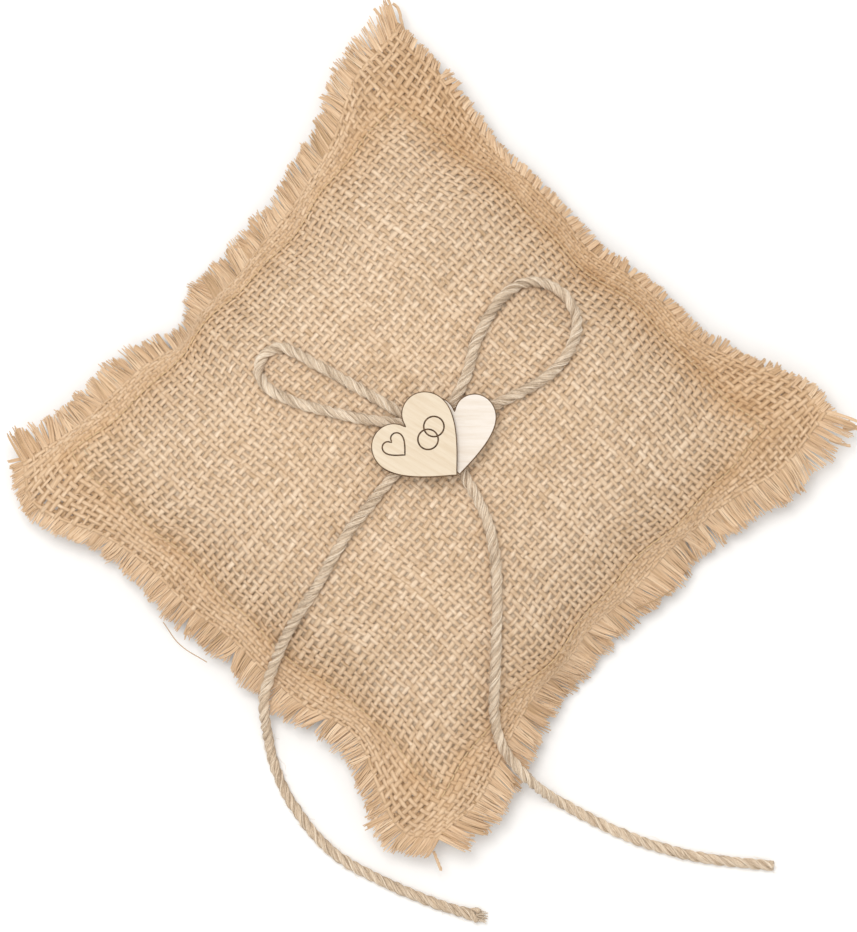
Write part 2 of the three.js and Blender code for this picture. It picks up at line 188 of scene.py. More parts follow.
def studio():
    """Even pale light, two soft lamps and a white floor."""
    scene = bpy.context.scene
    scene.view_settings.view_transform = "Standard"
    world = bpy.data.worlds.new("studio")
    world.use_nodes = True
    world.node_tree.nodes["Background"].inputs["Color"].default_value = (1.0, 0.99, 0.97, 1)
    world.node_tree.nodes["Background"].inputs["Strength"].default_value = 0.68
    scene.world = world
    soft_lamp("overhead", (0.04, 0.30, 1.34), (0, 0, 0.02), 0.6, 9.0, (1.0, 0.985, 0.96))
    soft_lamp("fill", (-0.35, -0.2, 1.3), (0, 0, 0.02), 0.9, 2.4, (1.0, 0.99, 0.98))
    mesh = bpy.data.meshes.new("floor")
    corners = [(x * FLOOR_HALF, y * FLOOR_HALF, 0) for x, y in ((-1, -1), (1, -1), (1, 1), (-1, 1))]
    mesh.from_pydata(corners, [], [(0, 1, 2, 3)])
    floor = bpy.data.objects.new("floor", mesh)
    scene.collection.objects.link(floor)
    mesh.materials.append(plain_paper())


# ---------------------------------------------------------------- small helpers for node trees
class Nodes:
    """Adds nodes to a tree with as few words as possible."""

    def __init__(self, tree):
        self.tree = tree

    def add(self, kind, settings=None, **values):
        node = self.tree.nodes.new(kind)
        for key, value in (settings or {}).items():
            setattr(node, key, value)
        for key, value in values.items():
            self.feed(node.inputs[key.replace("_", " ")], value)
        return node

    def feed(self, socket, value):
        if isinstance(value, bpy.types.NodeSocket):
            self.tree.links.new(value, socket)
        else:
            socket.default_value = value

    def math(self, operation, a, b=0.0, c=0.0, clamp=False):
        node = self.tree.nodes.new("ShaderNodeMath")
        node.operation = operation
        node.use_clamp = clamp
        for socket, value in zip(node.inputs, (a, b, c)):
            self.feed(socket, value)
        return node.outputs[0]

    def span(self, value, a, b, c, d):
        node = self.tree.nodes.new("ShaderNodeMapRange")
        for socket, v in zip(node.inputs, (value, a, b, c, d)):
            self.feed(socket, v)
        return node.outputs[0]

    def mix(self, share, a, b, blend="MIX"):
        node = self.tree.nodes.new("ShaderNodeMix")
        node.data_type = "RGBA"
        node.blend_type = blend
        self.feed(node.inputs[0], share)
        self.feed(node.inputs[6], a)
        self.feed(node.inputs[7], b)
        return node.outputs[2]

    def stretch(self, vector, scale, turn=(0.0, 0.0, 0.0), shift=(0.0, 0.0, 0.0)):
        node = self.tree.nodes.new("ShaderNodeMapping")
        node.inputs["Scale"].default_value = scale
        node.inputs["Rotation"].default_value = turn
        node.inputs["Location"].default_value = shift
        self.feed(node.inputs["Vector"], vector)
        return node.outputs[0]

    def noise(self, vector, scale, detail=2.0, roughness=0.5, distortion=0.0):
        node = self.tree.nodes.new("ShaderNodeTexNoise")
        node.inputs["Scale"].default_value = scale
        node.inputs["Detail"].default_value = detail
        node.inputs["Roughness"].default_value = roughness
        node.inputs["Distortion"].default_value = distortion
        self.feed(node.inputs["Vector"], vector)
        return node.outputs["Fac"]


def new_group(name, inputs, outputs):
    """A shader node group with named inputs and outputs."""
    tree = bpy.data.node_groups.new(name, "ShaderNodeTree")
    for label, kind, value in inputs:
        socket = tree.interface.new_socket(label, in_out="INPUT", socket_type=kind)
        if value is not None:
            socket.default_value = value
    for label, kind in outputs:
        tree.interface.new_socket(label, in_out="OUTPUT", socket_type=kind)
    nodes = Nodes(tree)
    start = tree.nodes.new("NodeGroupInput").outputs
    end = tree.nodes.new("NodeGroupOutput").inputs
    return tree, nodes, start, end


def plant_fibre_group():
    """Long fibres along a thread: pale and brown streaks, flecks, and a tone for each thread."""
    tree, n, given, out = new_group(
        "plant fibres",
        [("Along", "NodeSocketVector", None), ("Place", "NodeSocketVector", None),
         ("Tone", "NodeSocketFloat", 0.5), ("Slant", "NodeSocketFloat", 0.0),
         ("Pale", "NodeSocketColor", (1, 1, 1, 1)), ("Middle", "NodeSocketColor", (0.5, 0.5, 0.5, 1)),
         ("Dark", "NodeSocketColor", (0.1, 0.1, 0.1, 1)), ("Fleck", "NodeSocketColor", (0.1, 0.05, 0.02, 1)),
         ("Fleck share", "NodeSocketFloat", 0.02), ("Streak", "NodeSocketFloat", 0.6)],
        [("Color", "NodeSocketColor"), ("Roughness", "NodeSocketFloat"), ("Height", "NodeSocketFloat")])
    parts = n.add("ShaderNodeSeparateXYZ", Vector=given["Along"])
    slanted = n.math("MULTIPLY_ADD", parts.outputs[0], given["Slant"], parts.outputs[1])
    run = n.add("ShaderNodeCombineXYZ", X=parts.outputs[0], Y=slanted, Z=parts.outputs[2])
    fine = n.noise(n.stretch(run.outputs[0], (260, 5200, 900)), 1.0, 3.0, 0.62, 0.35)
    coarse = n.noise(n.stretch(run.outputs[0], (90, 1500, 300)), 1.0, 2.0, 0.5)
    slow = n.noise(given["Place"], 46.0, 3.0, 0.55)
    streak = n.math("ADD", n.math("MULTIPLY", fine, 0.62), n.math("MULTIPLY", coarse, 0.38))
    spread = n.math("MULTIPLY", n.math("SUBTRACT", streak, 0.5), n.math("MULTIPLY", given["Streak"], 2.6))
    drift = n.span(slow, 0.3, 0.7, -0.05, 0.05)
    toned = n.math("ADD", n.math("ADD", spread, given["Tone"]), drift, clamp=True)
    low = n.mix(n.span(toned, 0.0, 0.5, 0.0, 1.0), given["Dark"], given["Middle"])
    full = n.mix(n.span(toned, 0.5, 1.0, 0.0, 1.0), low, given["Pale"])
    spots = n.noise(n.stretch(run.outputs[0], (240, 1700, 700), shift=(7, 3, 1)), 1.0, 1.0, 0.5)
    edge = n.math("SUBTRACT", 0.82, n.math("MULTIPLY", given["Fleck share"], 1.6))
    fleck = n.math("MULTIPLY", n.span(spots, edge, 0.86, 0.0, 1.0), 0.8)
    n.feed(out["Color"], n.mix(fleck, full, given["Fleck"]))
    n.feed(out["Roughness"], n.span(streak, 0.3, 0.7, 0.86, 0.66))
    n.feed(out["Height"], streak)
    return tree


def wood_grain_group():
    """Fine straight grain of pale wood with short pores."""
    tree, n, given, out = new_group(
        "wood grain",
        [("Place", "NodeSocketVector", None), ("Turn", "NodeSocketVector", None),
         ("Light", "NodeSocketColor", (1, 1, 1, 1)), ("Line", "NodeSocketColor", (0.6, 0.5, 0.4, 1)),
         ("Strength", "NodeSocketFloat", 0.4)],
        [("Color", "NodeSocketColor"), ("Roughness", "NodeSocketFloat"), ("Height", "NodeSocketFloat")])
    turned = n.add("ShaderNodeVectorRotate", {"rotation_type": "EULER_XYZ"},
                   Vector=given["Place"], Rotation=given["Turn"]).outputs[0]
    bands = n.noise(n.stretch(turned, (55, 820, 300)), 1.0, 3.0, 0.6, 0.6)
    pores = n.noise(n.stretch(turned, (420, 5200, 1800)), 1.0, 2.0, 0.6)
    wide = n.noise(n.stretch(turned, (30, 140, 60)), 1.0, 2.0, 0.5)
    banded = n.span(bands, 0.42, 0.72, 0.0, 0.7)
    lines = n.math("ADD", banded, n.span(pores, 0.55, 0.8, 0.0, 0.55), clamp=True)
    share = n.math("MULTIPLY", n.math("ADD", lines, n.span(wide, 0.35, 0.7, 0.0, 0.35)), given["Strength"])
    n.feed(out["Color"], n.mix(share, given["Light"], given["Line"]))
    n.feed(out["Roughness"], n.span(lines, 0.0, 1.0, 0.5, 0.66))
    n.feed(out["Height"], n.math("SUBTRACT", 1.0, lines))
    return tree


def new_material(name):
    """A material, its node helper and its Principled shader."""
    material = bpy.data.materials.new(name)
    material.use_nodes = True
    nodes = Nodes(material.node_tree)
    shader = material.node_tree.nodes["Principled BSDF"]
    return material, nodes, shader


def fibre_material(name, pale, middle, dark, fleck, share, slant, streak, bump, sheen):
    """A matt plant-fibre finish that follows each thread by its run map and its own tone.

    The border mask tans the cloth up to 1 and, from 1 to 2, darkens it with painted shade in the crease along
    the seam; the side mask paints shade on each thread's sides, darker than its lit top."""
    material, n, shader = new_material(name)
    run = n.add("ShaderNodeUVMap", {"uv_map": "run"})
    tone = n.add("ShaderNodeAttribute", {"attribute_name": "tone"})
    place = n.add("ShaderNodeTexCoord")
    group = n.add("ShaderNodeGroup", {"node_tree": bpy.data.node_groups["plant fibres"]},
                  Along=run.outputs[0], Place=place.outputs["Object"], Tone=tone.outputs["Fac"], Slant=slant,
                  Pale=pale, Middle=middle, Dark=dark, Fleck=fleck, Fleck_share=share, Streak=streak)
    raised = n.add("ShaderNodeBump", Height=group.outputs["Height"])
    raised.inputs["Strength"].default_value = bump
    raised.inputs["Distance"].default_value = 0.0002
    warm = n.add("ShaderNodeAttribute", {"attribute_name": "warm"})
    tanned = n.mix(warm.outputs["Fac"], group.outputs["Color"], (0.91, 0.82, 0.71, 1), "MULTIPLY")
    # painted shade: from 1 to 2 on the border mask the crease along the seam is darkened
    crease_shaded = n.mix(n.span(warm.outputs["Fac"], 1.0, 2.0, 0.0, 1.0), tanned, (0.82, 0.73, 0.61, 1), "MULTIPLY")
    # painted shade: each thread darkened on its sides and underside, with its top left light
    painted_side_shade = n.add("ShaderNodeAttribute", {"attribute_name": "painted_side_shade"})
    shaded = n.mix(n.span(painted_side_shade.outputs["Fac"], 0.1, 0.75, 0.0, 1.0), crease_shaded, (0.70, 0.64, 0.57, 1), "MULTIPLY")
    n.feed(shader.inputs["Base Color"], shaded)
    n.feed(shader.inputs["Roughness"], group.outputs["Roughness"])
    n.feed(shader.inputs["Normal"], raised.outputs[0])
    shader.inputs["Sheen Weight"].default_value = sheen
    shader.inputs["Sheen Roughness"].default_value = 0.5
    shader.inputs["Specular IOR Level"].default_value = 0.3
    return material


def wood_material(name, light, line, turn, strength):
    """Pale basswood ply, with its grain turned by an angle."""
    material, n, shader = new_material(name)
    place = n.add("ShaderNodeTexCoord")
    group = n.add("ShaderNodeGroup", {"node_tree": bpy.data.node_groups["wood grain"]},
                  Place=place.outputs["Object"], Turn=(0.0, 0.0, turn), Light=light, Line=line,
                  Strength=strength)
    raised = n.add("ShaderNodeBump", Height=group.outputs["Height"])
    raised.inputs["Strength"].default_value = 0.25
    raised.inputs["Distance"].default_value = 0.0001
    n.feed(shader.inputs["Base Color"], group.outputs["Color"])
    n.feed(shader.inputs["Roughness"], group.outputs["Roughness"])
    n.feed(shader.inputs["Normal"], raised.outputs[0])
    shader.inputs["Specular IOR Level"].default_value = 0.35
    return material


def burnt_material(name, dark, brown):
    """Wood scorched by the cutting beam: dark brown with uneven soot."""
    material, n, shader = new_material(name)
    place = n.add("ShaderNodeTexCoord")
    soot = n.noise(n.stretch(place.outputs["Object"], (700, 700, 1500)), 1.0, 3.0, 0.6)
    n.feed(shader.inputs["Base Color"], n.mix(n.span(soot, 0.35, 0.7, 0.0, 1.0), dark, brown))
    n.feed(shader.inputs["Roughness"], n.span(soot, 0.3, 0.7, 0.9, 0.7))
    raised = n.add("ShaderNodeBump", Height=soot)
    raised.inputs["Strength"].default_value = 0.3
    raised.inputs["Distance"].default_value = 0.0001
    n.feed(shader.inputs["Normal"], raised.outputs[0])
    return material


def cotton_material():
    """Plain beige cotton of the inner bag: a fine weave in relief, with painted shade near its seam, where
    its outer band turns dark brown.
    """
    material, n, shader = new_material("beige cotton")
    place = n.add("ShaderNodeTexCoord")
    waves = []
    for direction in ("X", "Y"):
        wave = n.add("ShaderNodeTexWave", {"wave_type": "BANDS", "bands_direction": direction},
                     Vector=place.outputs["Object"])
        wave.inputs["Scale"].default_value = 420.0
        wave.inputs["Distortion"].default_value = 0.6
        waves.append(wave.outputs["Fac"])
    weave = n.math("MAXIMUM", waves[0], waves[1])
    slow = n.noise(place.outputs["Object"], 60.0, 3.0)
    tint = n.mix(n.span(slow, 0.3, 0.7, 0.0, 1.0), (0.72, 0.57, 0.41, 1), (0.82, 0.67, 0.51, 1))
    woven = n.mix(n.span(weave, 0.0, 1.0, 0.35, 0.0), tint, (0.56, 0.42, 0.28, 1))
    parts = n.add("ShaderNodeSeparateXYZ", Vector=place.outputs["Object"])
    far = n.math("MAXIMUM", n.math("ABSOLUTE", parts.outputs[0]), n.math("ABSOLUTE", parts.outputs[1]))
    # painted shade: the bag's outer band near the seam darkened to brown, deep in the crease
    seam_shade = n.span(far, 0.068, 0.078, 0.0, 0.85)
    n.feed(shader.inputs["Base Color"], n.mix(seam_shade, woven, (0.46, 0.31, 0.18, 1)))
    n.feed(shader.inputs["Roughness"], n.span(weave, 0.0, 1.0, 0.95, 0.85))
    raised = n.add("ShaderNodeBump", Height=weave)
    raised.inputs["Strength"].default_value = 0.5
    raised.inputs["Distance"].default_value = 0.0002
    n.feed(shader.inputs["Normal"], raised.outputs[0])
    return material


def wadding_material():
    """Loose white polyester fibre."""
    material, n, shader = new_material("white wadding")
    place = n.add("ShaderNodeTexCoord")
    tufts = n.noise(place.outputs["Object"], 130.0, 4.0, 0.7, 1.2)
    n.feed(shader.inputs["Base Color"],
           n.mix(n.span(tufts, 0.3, 0.7, 0.0, 1.0), (0.70, 0.68, 0.63, 1), (0.92, 0.90, 0.86, 1)))
    n.feed(shader.inputs["Roughness"], n.span(tufts, 0.3, 0.7, 0.98, 0.9))
    raised = n.add("ShaderNodeBump", Height=tufts)
    raised.inputs["Strength"].default_value = 0.8
    raised.inputs["Distance"].default_value = 0.001
    n.feed(shader.inputs["Normal"], raised.outputs[0])
    return material


def glue_material():
    """Set hot-melt glue, slightly cloudy."""
    material, n, shader = new_material("hot glue")
    place = n.add("ShaderNodeTexCoord")
    cloud = n.noise(place.outputs["Object"], 400.0, 3.0)
    n.feed(shader.inputs["Base Color"],
           n.mix(n.span(cloud, 0.3, 0.7, 0.0, 1.0), (0.62, 0.55, 0.42, 1), (0.80, 0.74, 0.60, 1)))
    n.feed(shader.inputs["Roughness"], n.span(cloud, 0.3, 0.7, 0.3, 0.45))
    return material


def plain_paper():
    """The floor's plain white paper."""
    material, n, shader = new_material("white paper")
    place = n.add("ShaderNodeTexCoord")
    grain = n.noise(place.outputs["Object"], 300.0, 2.0)
    n.feed(shader.inputs["Base Color"],
           n.mix(n.span(grain, 0.3, 0.7, 0.0, 1.0), (0.955, 0.955, 0.955, 1), (0.965, 0.965, 0.965, 1)))
    n.feed(shader.inputs["Roughness"], n.span(grain, 0.3, 0.7, 0.9, 0.95))
    return material


def make_finishes():
    """Every finish by its own name."""
    plant_fibre_group()
    wood_grain_group()
    return {
        "weft": fibre_material("hessian across", (0.92, 0.75, 0.575, 1), (0.72, 0.53, 0.355, 1),
                               (0.46, 0.30, 0.16, 1), (0.20, 0.10, 0.04, 1), 0.012, 0.12, 0.6, 0.8, 0.1),
        "warp": fibre_material("hessian along", (0.90, 0.735, 0.56, 1), (0.70, 0.51, 0.34, 1),
                               (0.44, 0.29, 0.155, 1), (0.20, 0.10, 0.04, 1), 0.012, 0.12, 0.6, 0.8, 0.1),
        "fringe": fibre_material("hessian fringe", (0.90, 0.71, 0.51, 1), (0.69, 0.48, 0.30, 1),
                                 (0.42, 0.26, 0.125, 1), (0.24, 0.12, 0.05, 1), 0.010, 0.0, 0.5, 0.5, 0.1),
        "twine": fibre_material("jute twine", (0.92, 0.805, 0.66, 1), (0.68, 0.54, 0.395, 1),
                                (0.32, 0.225, 0.145, 1), (0.14, 0.08, 0.03, 1), 0.02, 0.9, 0.85, 1.0, 0.12),
        "thread": fibre_material("tan sewing thread", (0.80, 0.62, 0.40, 1), (0.62, 0.44, 0.25, 1),
                                 (0.42, 0.27, 0.13, 1), (0.10, 0.05, 0.02, 1), 0.0, 0.6, 0.3, 0.3, 0.1),
        "lining_thread": fibre_material("beige sewing thread", (0.78, 0.66, 0.48, 1), (0.66, 0.53, 0.36, 1),
                                        (0.46, 0.35, 0.22, 1), (0.2, 0.1, 0.05, 1), 0.0, 0.6, 0.3, 0.3, 0.1),
        "cotton": cotton_material(),
        "wadding": wadding_material(),
        "glue": glue_material(),
        "pale_wood": wood_material("plain pale wood", (0.785, 0.72, 0.655, 1), (0.69, 0.59, 0.48, 1),
                                   math.radians(48), 0.75),
        "cream_wood": wood_material("cream wood", (0.725, 0.62, 0.48, 1), (0.62, 0.49, 0.34, 1),
                                    math.radians(80), 0.7),
        "burnt": burnt_material("burnt wood", (0.055, 0.028, 0.012, 1), (0.20, 0.11, 0.05, 1)),
        "scorched": burnt_material("scorched wood", (0.075, 0.038, 0.016, 1), (0.20, 0.115, 0.05, 1)),
    }


# ---------------------------------------------------------------- the cushion's shape
def side_line(side, t):
    """Distances of the seam and of the cloth's edge from the middle, at place t along a side."""
    shape = SIDES[side]
    half = CLOTH_HALF
    share = np.clip(np.abs(t) / half, 0, 1.2)
    seam = shape["seam"][0] + (shape["seam"][1] - shape["seam"][0]) * share ** 2.2
    edge = shape["edge"][0] + (shape["edge"][1] - shape["edge"][0]) * share ** 2.0
    low, high = shape["flare"]
    edge = edge + shape["lean"] * t / half
    edge = edge + low * np.exp(-((t + 0.80 * half) / (0.17 * half)) ** 2)
    edge = edge + high * np.exp(-((t - 0.80 * half) / (0.17 * half)) ** 2)
    for place, depth, width in shape["pinch"]:
        dip = np.exp(-((t - place) / width) ** 2)
        edge = edge - depth * dip
        seam = seam - 0.25 * depth * dip
    seam = seam + 0.9 * np.sin(t * 0.21 + 1.3 * shape["fringe"]) + 1.3 * np.sin(t * 0.093 + shape["fringe"])
    return seam, edge


def lay_out(u, v):
    """Rest position of both layers of the cushion for cloth coordinates u and v, in millimetres."""
    tu, tv = u * CLOTH_HALF, v * CLOTH_HALF
    out = []
    for a, along, high, low in ((u, tv, "+X", "-X"), (v, tu, "+Y", "-Y")):
        seam_high, edge_high = side_line(high, along)
        seam_low, edge_low = side_line(low, along)
        seam = np.where(a >= 0, seam_high, seam_low)
        edge = np.where(a >= 0, edge_high, edge_low)
        away = np.abs(a)
        inner = away / SEAM_AT * seam
        outer = seam + (edge - seam) * (away - SEAM_AT) / (1 - SEAM_AT)
        out.append(np.sign(a) * np.where(away <= SEAM_AT, inner, outer))
    x, y = out
    bu = np.clip((np.abs(u) - SEAM_AT) / (1 - SEAM_AT), 0, 1)
    bv = np.clip((np.abs(v) - SEAM_AT) / (1 - SEAM_AT), 0, 1)
    border = np.maximum(bu, bv)
    middle = np.exp(-((np.where(bu > bv, v, u)) / 0.62) ** 4)
    droop = border * (3.0 + 2.0 * middle)
    ripple = border * 1.6 * np.sin(tu * 0.17 + 0.9) * np.cos(bv * 1.5) * (bv > bu)
    ripple = ripple + border * 1.6 * np.sin(tv * 0.19 + 2.1) * (bu >= bv)
    plane = SEAM_Z - droop + ripple
    pu = np.clip(1 - np.abs(u / SEAM_AT) ** PUFF_POWER, 0, 1)
    pv = np.clip(1 - np.abs(v / SEAM_AT) ** PUFF_POWER, 0, 1)
    puff = (pu * pv) ** PUFF_SOFTNESS
    front = plane + CROWN * puff
    back = np.maximum(0.9, plane - BELLY * puff)
    return x, y, front, back


def sewn_cloth(front, back, inside, scale):
    """Both layers as one piece of cloth: they share their points at the seam, and the border is single."""
    rows, columns = front.shape[:2]
    upper = np.arange(rows * columns).reshape(rows, columns)
    points = [tuple(p) for p in front.reshape(-1, 3) * scale]
    under = upper.copy()
    for j in range(rows):
        for i in range(columns):
            if inside[j, i]:
                under[j, i] = len(points)
                points.append(tuple(back[j, i] * scale))
    faces = []
    for j in range(rows - 1):
        for i in range(columns - 1):
            square = (upper[j, i], upper[j, i + 1], upper[j + 1, i + 1], upper[j + 1, i])
            faces.append([int(k) for k in square])
            if any(inside[a, b] for a, b in ((j, i), (j + 1, i), (j + 1, i + 1), (j, i + 1))):
                square = (under[j, i], under[j + 1, i], under[j + 1, i + 1], under[j, i + 1])
                faces.append([int(k) for k in square])
    mesh = bpy.data.meshes.new("cloth")
    mesh.from_pydata(points, [], faces)
    cloth = bpy.data.objects.new("cloth", mesh)
    bpy.context.scene.collection.objects.link(cloth)
    return cloth, upper, under


def add_group(cloth, name, points, weight):
    """Adds points to a vertex group of the cloth, made here if it is new."""
    group = cloth.vertex_groups.get(name) or cloth.vertex_groups.new(name=name)
    group.add([int(k) for k in points], weight, "REPLACE")


def swell(front, back, inside):
    """Runs the cloth: both layers sewn at the seam, with a little spare cloth, blown up by the filling."""
    scale = 10.0 * MM
    cloth, upper, under = sewn_cloth(front, back, inside, scale)
    rows, columns = upper.shape
    steps = (CELLS - SEAM_CELLS) // 2
    seam = np.zeros((rows, columns), bool)
    seam[steps:rows - steps, steps] = True
    seam[steps:rows - steps, columns - 1 - steps] = True
    seam[steps, steps:columns - steps] = True
    seam[rows - 1 - steps, steps:columns - steps] = True
    add_group(cloth, "seam", upper[seam], 1.0)
    add_group(cloth, "stuffed", [*upper[inside], *under[inside]], 1.0)
    add_group(cloth, "slack", upper[~(inside | seam)], 1.0)
    add_group(cloth, "slack", [*upper[inside], *under[inside]], 0.35)
    modifier = cloth.modifiers.new("cloth", "CLOTH")
    feel = modifier.settings
    feel.quality = 6
    feel.mass = 0.3
    feel.tension_stiffness = 40
    feel.compression_stiffness = 40
    feel.shear_stiffness = 12
    feel.bending_stiffness = 1.2
    feel.tension_damping = 10
    feel.compression_damping = 10
    feel.shear_damping = 10
    feel.bending_damping = 1
    feel.air_damping = 3
    feel.vertex_group_mass = "seam"
    feel.pin_stiffness = 1
    feel.use_pressure = True
    feel.uniform_pressure_force = 0.9
    feel.vertex_group_pressure = "stuffed"
    feel.vertex_group_shrink = "slack"
    feel.shrink_min = 0.0
    feel.shrink_max = -0.05
    feel.effector_weights.gravity = 0
    modifier.point_cache.frame_start = 1
    modifier.point_cache.frame_end = SWELL_FRAMES
    for moment in range(1, SWELL_FRAMES + 1):
        bpy.context.scene.frame_set(moment)
    result = cloth.evaluated_get(bpy.context.evaluated_depsgraph_get()).to_mesh()
    found = np.empty(len(result.vertices) * 3, np.float32)
    result.vertices.foreach_get("co", found)
    found = found.reshape(-1, 3).astype(float) / scale
    mesh = cloth.data
    bpy.data.objects.remove(cloth)
    bpy.data.meshes.remove(mesh)
    bpy.context.scene.frame_set(1)
    return found[upper], found[under]


def capped(moved, start, most):
    """The move from start, never more than most."""
    shift = moved - start
    size = np.linalg.norm(shift, axis=2, keepdims=True)
    return start + shift * (most * np.tanh(size / most) / np.maximum(size, 1e-6))


def smoothed(grid, times):
    """The grid of points with its small unevenness rubbed out, a little each time."""
    for _ in range(times):
        wide = np.pad(grid, ((1, 1), (1, 1), (0, 0)), mode="reflect", reflect_type="odd")
        around = wide[:-2, 1:-1] + wide[2:, 1:-1] + wide[1:-1, :-2] + wide[1:-1, 2:]
        grid = (wide[1:-1, 1:-1] * 4 + around) / 8
    return grid


def cushion_shape():
    """The front and back layers as grids of points, stuffed and swollen, flat where they rest."""
    line = np.linspace(-1, 1, CELLS + 1)
    u, v = np.meshgrid(line, line)
    x, y, top, bottom = lay_out(u, v)
    front = np.stack([x, y, top], axis=2)
    back = np.stack([x, y, bottom], axis=2)
    inside = (np.abs(u) < SEAM_AT - 1e-6) & (np.abs(v) < SEAM_AT - 1e-6)
    swollen_front, swollen_back = swell(front, back, inside)
    front = capped(swollen_front, front, SWELL_MOST)
    back = capped(swollen_back, back, SWELL_MOST)
    front, back = smoothed(front, 9), smoothed(back, 6)
    rng = np.random.default_rng(11)
    for _ in range(26):
        lump_x, lump_y = rng.uniform(-80, 80, 2)
        width = rng.uniform(9, 20)
        depth = rng.uniform(-0.9, 0.7)
        front[..., 2] += depth * np.exp(-((x - lump_x) ** 2 + (y - lump_y) ** 2) / width ** 2)
    knot = np.argmin((x - KNOT_PLACE[0]) ** 2 + (y - KNOT_PLACE[1]) ** 2)
    front[..., 2] += (FRONT_TOP - front[..., 2].flat[knot]) * np.exp(-(x ** 2 + y ** 2) / 60 ** 2)
    back[..., 2] = TABLE_REST + np.logaddexp(0, (back[..., 2] - TABLE_REST) * 1.6) / 1.6 - 0.26
    sewn = np.clip((np.maximum(np.abs(u), np.abs(v)) - SEAM_AT + 0.035) / 0.035, 0, 1)
    sewn = sewn * sewn * (3 - 2 * sewn)
    back[..., 2] += (front[..., 2] - SEWN_TOGETHER - back[..., 2]) * sewn
    front[..., 2] = np.maximum(front[..., 2], back[..., 2] + 0.35)
    return front, back


class Layer:
    """One layer of cloth: smooth places and outward directions for any cloth coordinates."""

    def __init__(self, grid, outward):
        self.grid = np.pad(grid, ((3, 3), (3, 3), (0, 0)), mode="reflect", reflect_type="odd")
        self.outward = outward

    def weights(self, t):
        """How much each of four neighbouring grid lines counts, at t between the middle two."""
        t2, t3 = t * t, t * t * t
        return np.stack([(1 - 3 * t + 3 * t2 - t3) / 6, (4 - 6 * t2 + 3 * t3) / 6,
                         (1 + 3 * t + 3 * t2 - 3 * t3) / 6, t3 / 6], axis=-1)

    def at(self, u, v):
        """Places on the layer for cloth coordinates u and v."""
        a = np.clip((u + 1) / 2 * CELLS + 3, 1.01, CELLS + 4.98)
        b = np.clip((v + 1) / 2 * CELLS + 3, 1.01, CELLS + 4.98)
        i, j = np.floor(a).astype(int), np.floor(b).astype(int)
        wu, wv = self.weights(a - i), self.weights(b - j)
        total = 0
        for m in range(4):
            for n in range(4):
                total = total + self.grid[j + m - 1, i + n - 1] * (wv[..., m] * wu[..., n])[..., None]
        return total

    def frame(self, u, v):
        """Places, the two directions along the cloth, and the outward direction."""
        h = 0.4 / CLOTH_HALF
        du = self.at(u + h, v) - self.at(u - h, v)
        dv = self.at(u, v + h) - self.at(u, v - h)
        normal = np.cross(du, dv) * self.outward
        normal /= np.maximum(np.linalg.norm(normal, axis=-1, keepdims=True), 1e-9)
        return self.at(u, v), du, dv, normal


def slow_noise(rng, rows, columns, knots):
    """Smooth random values in each row, about -1 to 1."""
    coarse = rng.normal(0, 0.6, (rows, knots))
    place = np.linspace(0, knots - 1, columns)
    i = np.clip(np.floor(place).astype(int), 0, knots - 2)
    t = place - i
    t = t * t * (3 - 2 * t)
    return coarse[:, i] * (1 - t) + coarse[:, i + 1] * t


def unit(v):
    """Directions with a length of one."""
    return v / np.maximum(np.linalg.norm(v, axis=-1, keepdims=True), 1e-12)


# ---------------------------------------------------------------- tubes of every sort
def add_piece(name, verts, faces, materials, nodes=(), smooth=True):
    """A finished piece from its corners and faces."""
    mesh = bpy.data.meshes.new(name)
    mesh.from_pydata(verts, [], faces)
    for material in materials:
        mesh.materials.append(material)
    if smooth:
        mesh.shade_smooth()
    else:
        mesh.shade_flat()
    piece = bpy.data.objects.new(name, mesh)
    bpy.context.scene.collection.objects.link(piece)
    return settle(piece, nodes)


def settle(piece, nodes=()):
    """Puts a piece under the one body and hides the CAD parts of the nodes that it stands for."""
    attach(piece, "root")
    if nodes:
        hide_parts(*nodes)
    return piece


def set_mask(mesh, label, values):
    """A value for each corner, which a finish reads by its name."""
    mask = mesh.attributes.new(label, "FLOAT", "POINT")
    mask.data.foreach_set("value", np.asarray(values, np.float32).ravel())


def set_map(mesh, label, values):
    """A flat map over the faces."""
    layer = mesh.uv_layers.new(name=label)
    layer.data.foreach_set("uv", np.asarray(values, np.float32).ravel())


def run_along(line):
    """Distance along a line at each of its points."""
    return np.concatenate([[0], np.cumsum(np.linalg.norm(np.diff(line, axis=0), axis=1))])


